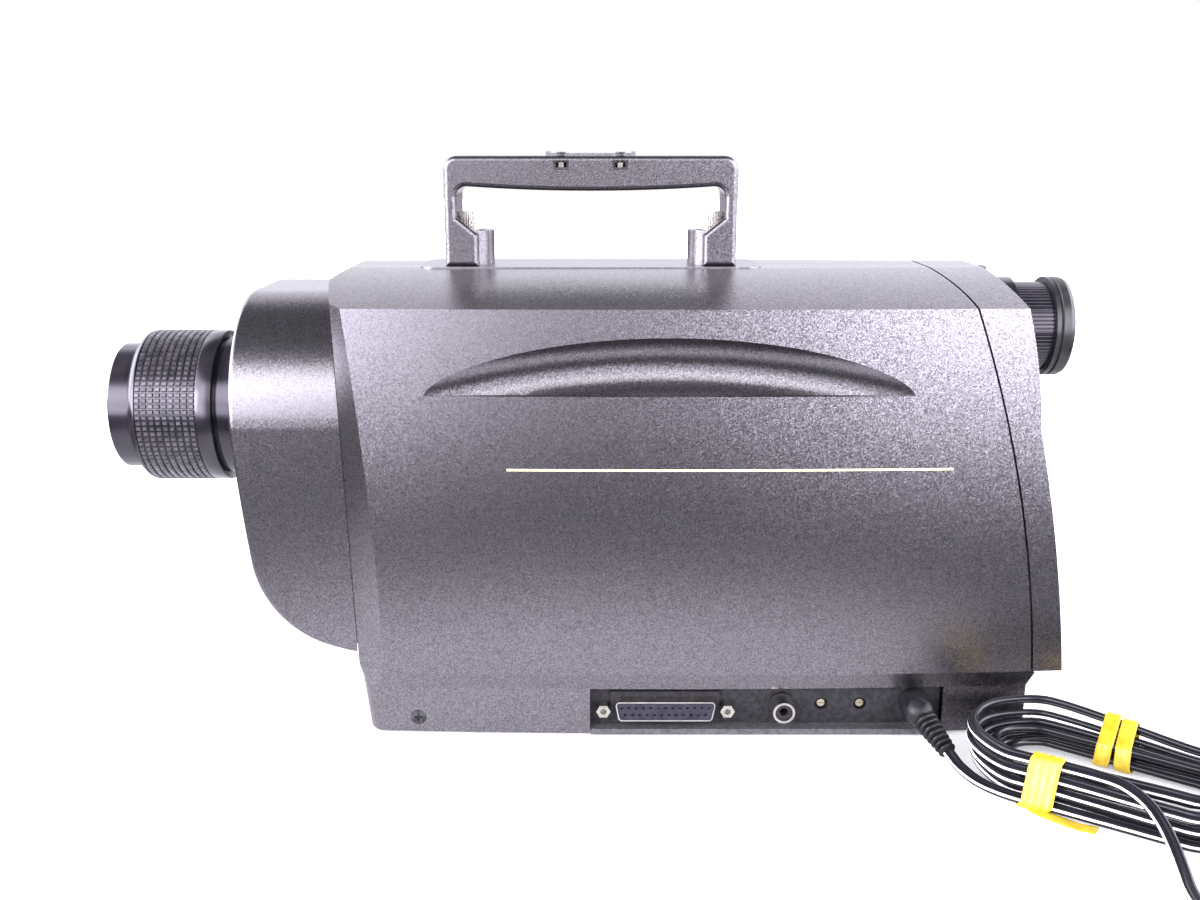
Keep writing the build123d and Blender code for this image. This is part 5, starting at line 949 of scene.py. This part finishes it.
def tie_loop(strands, margin):
    """The rounded outline round some strands."""
    outline = []
    for i in range(TIE_STEPS):
        angle = 2 * math.pi * i / TIE_STEPS
        reach = Vector((math.cos(angle), math.sin(angle)))
        best = max(strands, key=lambda spot: spot[0] * reach[0] + spot[1] * reach[1])
        outline.append(Vector(best) + reach * margin)
    for _ in range(TIE_SMOOTHINGS):
        ahead = outline[1:] + outline[:1]
        outline = [(outline[i - 1] + outline[i] * 2 + ahead[i]) / 4 for i in range(TIE_STEPS)]
    return [Vector((spot[0], max(spot[1], TIE_LOWEST))) for spot in outline]


print("tie loop helpers ready")

# %% [markdown]
# ### Bands
#
# A band is a closed strip on such a loop, with fine ridges along it, thin edges and a flat inner
# face. It leans a little, as a tie does that was pulled tight by hand.

# %% Tie bands
TIE_SKIN = 0.5
TIE_EDGE_SHARE = 0.4
TIE_RIDGE = 0.34
OUTER_LOWEST = 0.12
INNER_LOWEST = 0.1


def tie_band(along, side, width, ridges, lean):
    """Vertices and faces of one ridged band."""
    strands = strands_at(along, side)
    outline = tie_loop(strands, CORD_WIDTH / 2 + TIE_PLAY)
    columns = 4 * ridges + 1
    leans = [along + lean * math.sin(2 * math.pi * i / TIE_STEPS) for i in range(TIE_STEPS)]
    vertices = []
    for i, spot in enumerate(outline):
        ahead = outline[(i + 1) % TIE_STEPS] - outline[i - 1]
        outward = Vector((ahead[1], -ahead[0])).normalized()
        for j in range(columns):
            share = j / (columns - 1)
            ridge = TIE_RIDGE * (0.5 - 0.5 * math.cos(2 * math.pi * ridges * share))
            skin = TIE_SKIN + ridge if 0 < j < columns - 1 else TIE_SKIN * TIE_EDGE_SHARE
            outer = spot + outward * skin
            outer_height = max(outer[1], OUTER_LOWEST)
            vertices.append(hank_place(leans[i] + (share - 0.5) * width, outer[0], outer_height) * MM)
    for i, spot in enumerate(outline):
        for edge in (-0.5, 0.5):
            vertices.append(hank_place(leans[i] + edge * width, spot[0], max(spot[1], INNER_LOWEST)) * MM)
    faces = []
    for i in range(TIE_STEPS):
        k = (i + 1) % TIE_STEPS
        here = i * columns
        there = k * columns
        here_inside = TIE_STEPS * columns + 2 * i
        there_inside = TIE_STEPS * columns + 2 * k
        for j in range(columns - 1):
            faces.append((here + j, there + j, there + j + 1, here + j + 1))
        faces.append((here_inside + 1, there_inside + 1, there_inside, here_inside))
        faces.append((here_inside, there_inside, there, here))
        faces.append((here + columns - 1, there + columns - 1, there_inside + 1, here_inside + 1))
    print("tie at", along, "round", len(strands), "strands")
    return vertices, faces


print("band helper ready")

# %% [markdown]
# ### The loose end
#
# A tie's loose end is a flat strip that lies on the table, with one low ridge along its middle. It
# is the same five-cornered section at each spot, joined from one spot to the next.


# %% Loose end
def tie_tail(spots, width, skin):
    """Vertices and faces of the tie's loose end, a flat strip that lies on the table."""
    section = ((-0.5, 0), (0.5, 0), (0.5, skin), (0, skin + TIE_RIDGE), (-0.5, skin))
    count = len(section)
    vertices = []
    for along, across, height in spots:
        for side, rise in section:
            vertices.append(hank_place(along, across + side * width, height + rise) * MM)
    faces = [tuple(reversed(range(count)))]
    for i in range(len(spots) - 1):
        for j in range(count):
            k = (j + 1) % count
            faces.append((count * i + j, count * i + k, count * (i + 1) + k, count * (i + 1) + j))
    faces.append(tuple(range(count * (len(spots) - 1), count * len(spots))))
    return vertices, faces


print("loose end helper ready")

# %% [markdown]
# ### The ties in place
#
# The near tie is wide, with four ridges, and its loose end sticks out on the table. The far side
# has two narrow ties close together, which lean opposite ways. Both are one piece.

# %% Make the ties
NEAR_TIE_PLACE = -19.0
FAR_TIE_PLACES = ((-6.4, 0.6), (0.6, -0.6))
NEAR_TIE_WIDTH = 10.4
FAR_TIE_WIDTH = 5.4
TIE_CREASE = 50
TAIL_WIDTH = 4.4
TAIL_SPOTS = [
    (-21.0, -29.0, 0.5), (-16.0, -30.6, 0.4), (-10.0, -31.6, 0.3), (-4.0, -32.2, 0.3), (1.5, -32.2, 0.8)]


def tie_piece(name, bands):
    """One object from one or more bands."""
    vertices = []
    faces = []
    for band_vertices, band_faces in bands:
        start = len(vertices)
        vertices += band_vertices
        faces += [tuple(start + v for v in face) for face in band_faces]
    piece = mesh_piece(name, vertices, faces, smooth=True, crease=TIE_CREASE)
    wear(piece, tie_yellow)
    return piece


near_tie = tie_piece("near_band_tie", [
    tie_band(NEAR_TIE_PLACE, -1, NEAR_TIE_WIDTH, ridges=4, lean=1.6),
    tie_tail(TAIL_SPOTS, TAIL_WIDTH, TIE_SKIN)])
far_tie = tie_piece("far_band_ties", [
    tie_band(place, 1, FAR_TIE_WIDTH, ridges=2, lean=lean) for place, lean in FAR_TIE_PLACES])
print("ties made")

# %% [markdown]
# ## The focus ring
#
# The focus ring is turned on a lathe, so its body is an outline swung about the lens axis. The
# outline steps in at the front, rounds up to the grip, and drops to the grip's smooth floor.

# %% Focus ring body
LENS_AXIS = 114.2
TURNED_CREASE = 32
FOCUS_STEPS = 128
FOCUS_START = -181.95
FOCUS_END = -148.15
GRIP_START = -178.2
GRIP_END = -154.3
GRIP_FLOOR = 30.05
GRIP_TOP = 30.75
FOCUS_BORE = 27.05
FOCUS_MOUTH = 25.8


def turned_piece(name, outline, axis_height, steps, material):
    """A closed outline of (place, radius) pairs in millimetres, turned about an axis along X."""
    count = len(outline)
    vertices = []
    for i in range(steps):
        angle = 2 * math.pi * i / steps
        for x, radius in outline:
            y = radius * math.cos(angle)
            z = axis_height + radius * math.sin(angle)
            vertices.append((x * MM, y * MM, z * MM))
    faces = []
    for i in range(steps):
        k = (i + 1) % steps
        for j in range(count):
            m = (j + 1) % count
            faces.append((i * count + j, k * count + j, k * count + m, i * count + m))
    piece = mesh_piece(name, vertices, faces, smooth=True, crease=TURNED_CREASE)
    wear(piece, material)
    return piece


focus_outline = [
    (FOCUS_START, FOCUS_MOUTH), (FOCUS_START, 27.2), (FOCUS_START + 0.35, 27.75),
    (FOCUS_START + 1.2, 28.9),
    (FOCUS_START + 2.2, 29.9), (FOCUS_START + 3.0, 30.4), (FOCUS_START + 3.5, 30.6), (GRIP_START, 30.6),
    (GRIP_START + 0.05, GRIP_FLOOR), (GRIP_END - 0.05, GRIP_FLOOR), (GRIP_END, 30.55), (GRIP_END + 0.3, 30.7),
    (FOCUS_END - 0.5, 30.7), (FOCUS_END - 0.15, 30.6), (FOCUS_END, 30.3), (FOCUS_END, FOCUS_BORE),
    (FOCUS_START + 2.0, FOCUS_BORE), (FOCUS_START + 2.0, FOCUS_MOUTH)]
focus_body = turned_piece("focus_ring_body", focus_outline, LENS_AXIS, FOCUS_STEPS, anodised_black)
print("focus ring body", len(focus_body.data.polygons), "faces")

# %% [markdown]
# ### The blocks of the grip
#
# Small raised blocks in even rows make the grip. The blocks are instances: a ring of blocks is made
# first, each turned a little further about the axis, and that ring is repeated along the axis. A
# block is a low four-sided cone with its tip cut off, which gives it sloping flanks for few faces.
# Turned by 45 degrees, a cone of radius 0.7071 has sides of length 1, so its scale is its size.

# %% Grip blocks
GRIP_ROWS = 86
GRIP_COLUMNS = 9
BLOCK_WIDTH = 1.75
BLOCK_LENGTH = 2.2
BLOCK_SINK = 0.1

tree, given, out = new_tree("grip blocks", {
    "Rows": "Int", "Columns": "Int", "Start": "Vector", "Column Step": "Vector", "Radius": "Float",
    "Block Width": "Float", "Block Length": "Float", "Block Height": "Float", "Material": "Material"})
block = add_node(tree, "GeometryNodeMeshCone", {
    "Vertices": 4, "Radius Top": 0.50, "Radius Bottom": 0.7071, "Depth": 1.0})
square = add_node(tree, "GeometryNodeTransform", {"Geometry": block, "Rotation": (0, 0, math.radians(45))})
size = add_node(tree, "ShaderNodeCombineXYZ", {
    "X": (given, "Block Length"), "Y": (given, "Block Width"), "Z": (given, "Block Height")})
lift = add_node(tree, "ShaderNodeCombineXYZ", {"Z": (given, "Radius")})
sized = add_node(tree, "GeometryNodeTransform", {"Geometry": square, "Translation": lift, "Scale": size})
part_turn = calculate(tree, "DIVIDE", add_node(tree, "GeometryNodeInputIndex"), (given, "Rows"))
turn = calculate(tree, "MULTIPLY", part_turn, 2 * math.pi)
spin = add_node(tree, "ShaderNodeCombineXYZ", {"X": turn})
rows = add_node(tree, "GeometryNodeMeshLine", {"Count": (given, "Rows"), "Offset": (0, 0, 0)})
ring = add_node(tree, "GeometryNodeInstanceOnPoints", {"Points": rows, "Instance": sized, "Rotation": spin})
columns = add_node(tree, "GeometryNodeMeshLine", {
    "Count": (given, "Columns"), "Start Location": (given, "Start"), "Offset": (given, "Column Step")})
grip = add_node(tree, "GeometryNodeInstanceOnPoints", {"Points": columns, "Instance": ring})
close_tree(tree, grip, given, out)

column_pitch = (GRIP_END - GRIP_START) / GRIP_COLUMNS
grip_blocks = grow("focus_grip_blocks", tree, {
    "Rows": GRIP_ROWS, "Columns": GRIP_COLUMNS,
    "Start": ((GRIP_START + column_pitch / 2) * MM, 0, LENS_AXIS * MM),
    "Column Step": (column_pitch * MM, 0, 0), "Radius": (GRIP_FLOOR - BLOCK_SINK) * MM,
    "Block Width": BLOCK_WIDTH * MM, "Block Length": BLOCK_LENGTH * MM,
    "Block Height": (GRIP_TOP - GRIP_FLOOR + BLOCK_SINK) * MM, "Material": grip_black})

# %% [markdown]
# ## The connector's contacts
#
# The wide connector has twenty-five contacts in two rows, thirteen over twelve, each a small plated
# pin in a hole of the dark insulator. One tree serves both rows: a line of points and a pin.

# %% Contacts
CONNECTOR_X = 28.4
CONNECTOR_Z = 10.55
CONTACT_PITCH = 2.77
CONTACT_ROW_HALF = 1.42
CONTACT_Y = -68.2
CONTACT_RADIUS = 0.42
CONTACT_DEPTH = 3.0
CONTACTS_ABOVE = 13
CONTACTS_BELOW = 12

tree, given, out = new_tree("contact row", {
    "Count": "Int", "Start": "Vector", "Pitch": "Vector", "Radius": "Float", "Depth": "Float",
    "Material": "Material"})
line = add_node(tree, "GeometryNodeMeshLine", {
    "Count": (given, "Count"), "Start Location": (given, "Start"), "Offset": (given, "Pitch")})
pin = add_node(tree, "GeometryNodeMeshCylinder", {
    "Vertices": 12, "Radius": (given, "Radius"), "Depth": (given, "Depth")})
pins = add_node(tree, "GeometryNodeInstanceOnPoints", {
    "Points": line, "Instance": pin, "Rotation": (math.radians(90), 0, 0)})
close_tree(tree, pins, given, out)

contact_rows = []
for label, count, height in (("upper", CONTACTS_ABOVE, CONNECTOR_Z + CONTACT_ROW_HALF),
                             ("lower", CONTACTS_BELOW, CONNECTOR_Z - CONTACT_ROW_HALF)):
    first = CONNECTOR_X - CONTACT_PITCH * (count - 1) / 2
    contact_rows.append(grow("contacts_" + label, tree, {
        "Count": count, "Start": (first * MM, CONTACT_Y * MM, height * MM),
        "Pitch": (CONTACT_PITCH * MM, 0, 0), "Radius": CONTACT_RADIUS * MM,
        "Depth": CONTACT_DEPTH * MM, "Material": brass}))

# %% [markdown]
# ## The thin line on the side
#
# A thin cream line runs along the left side. It is a printed line, so it is a very thin strip that
# follows the bowed side: the side's section is an arc, and that arc is swung about a far axis.

# %% Side line
BOW_RADIUS = 2400.0
BOW_X = 30.0
SIDE_CREASE = (69.5, 163.0)
SIDE_MIDDLE = (73.5, 85.0)
SIDE_FOOT = (72.5, 26.0)
LINE_Z = 105.8
LINE_START = -30.0
LINE_END = 130.8
LINE_WIDTH = 0.75
LINE_RISE = 0.07
LINE_SINK = 0.1
LINE_STEPS = 40


def arc_through(a, b, c):
    """Centre and radius of the circle through three points."""
    d = 2 * (a[0] * (b[1] - c[1]) + b[0] * (c[1] - a[1]) + c[0] * (a[1] - b[1]))
    squares = [p[0] ** 2 + p[1] ** 2 for p in (a, b, c)]
    x = (squares[0] * (b[1] - c[1]) + squares[1] * (c[1] - a[1]) + squares[2] * (a[1] - b[1])) / d
    y = (squares[0] * (c[0] - b[0]) + squares[1] * (a[0] - c[0]) + squares[2] * (b[0] - a[0])) / d
    return (x, y), math.hypot(a[0] - x, a[1] - y)


def side_depth(x, z):
    """The Y of the left side face at a place, in millimetres."""
    centre, radius = arc_through(SIDE_CREASE, SIDE_MIDDLE, SIDE_FOOT)
    half = centre[0] + math.sqrt(radius ** 2 - (z - centre[1]) ** 2)
    far = BOW_RADIUS - SIDE_MIDDLE[0]
    return far - math.sqrt((far + half) ** 2 - (x - BOW_X) ** 2)


vertices = []
for i in range(LINE_STEPS + 1):
    x = LINE_START + (LINE_END - LINE_START) * i / LINE_STEPS
    for z in (LINE_Z - LINE_WIDTH / 2, LINE_Z + LINE_WIDTH / 2):
        y = side_depth(x, z)
        vertices += [(x * MM, (y - LINE_RISE) * MM, z * MM), (x * MM, (y + LINE_SINK) * MM, z * MM)]
faces = []
for a in range(0, 4 * LINE_STEPS, 4):
    b = a + 4
    for j, k in ((0, 2), (2, 3), (3, 1), (1, 0)):
        faces.append((a + j, b + j, b + k, a + k))
end = 4 * LINE_STEPS
faces += [(0, 2, 3, 1), (end, end + 1, end + 3, end + 2)]
side_line = mesh_piece("side_line", vertices, faces)
wear(side_line, line_cream)
print("side line at depth", round(side_depth(BOW_X, LINE_Z), 2))

# %% [markdown]
# ## Join the pieces to the bodies
#
# Each piece rides on the CAD body it belongs to, and the CAD nodes it replaces are hidden. The
# table also lists a finish slot for each piece.

# %% Ride and replace
RIDES = [(cord, "housing", "cord_vinyl"), (strain_relief, "housing", "cord_vinyl"),
         (near_tie, "housing", "tie_yellow"), (far_tie, "housing", "tie_yellow"),
         (focus_body, "focus", "anodised_black"), (grip_blocks, "focus", "grip_rubber"),
         (contact_rows[0], "housing", "brass"), (contact_rows[1], "housing", "brass"),
         (side_line, "housing", "tie_yellow")]
for piece, body, finish_slot in RIDES:
    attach(piece, body)
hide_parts("cord_lead", "cord_hank", "cord_tail")
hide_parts("strain_relief")
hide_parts("near_tie")
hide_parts("far_tie")
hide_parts("focus_ring")
print("pieces joined")
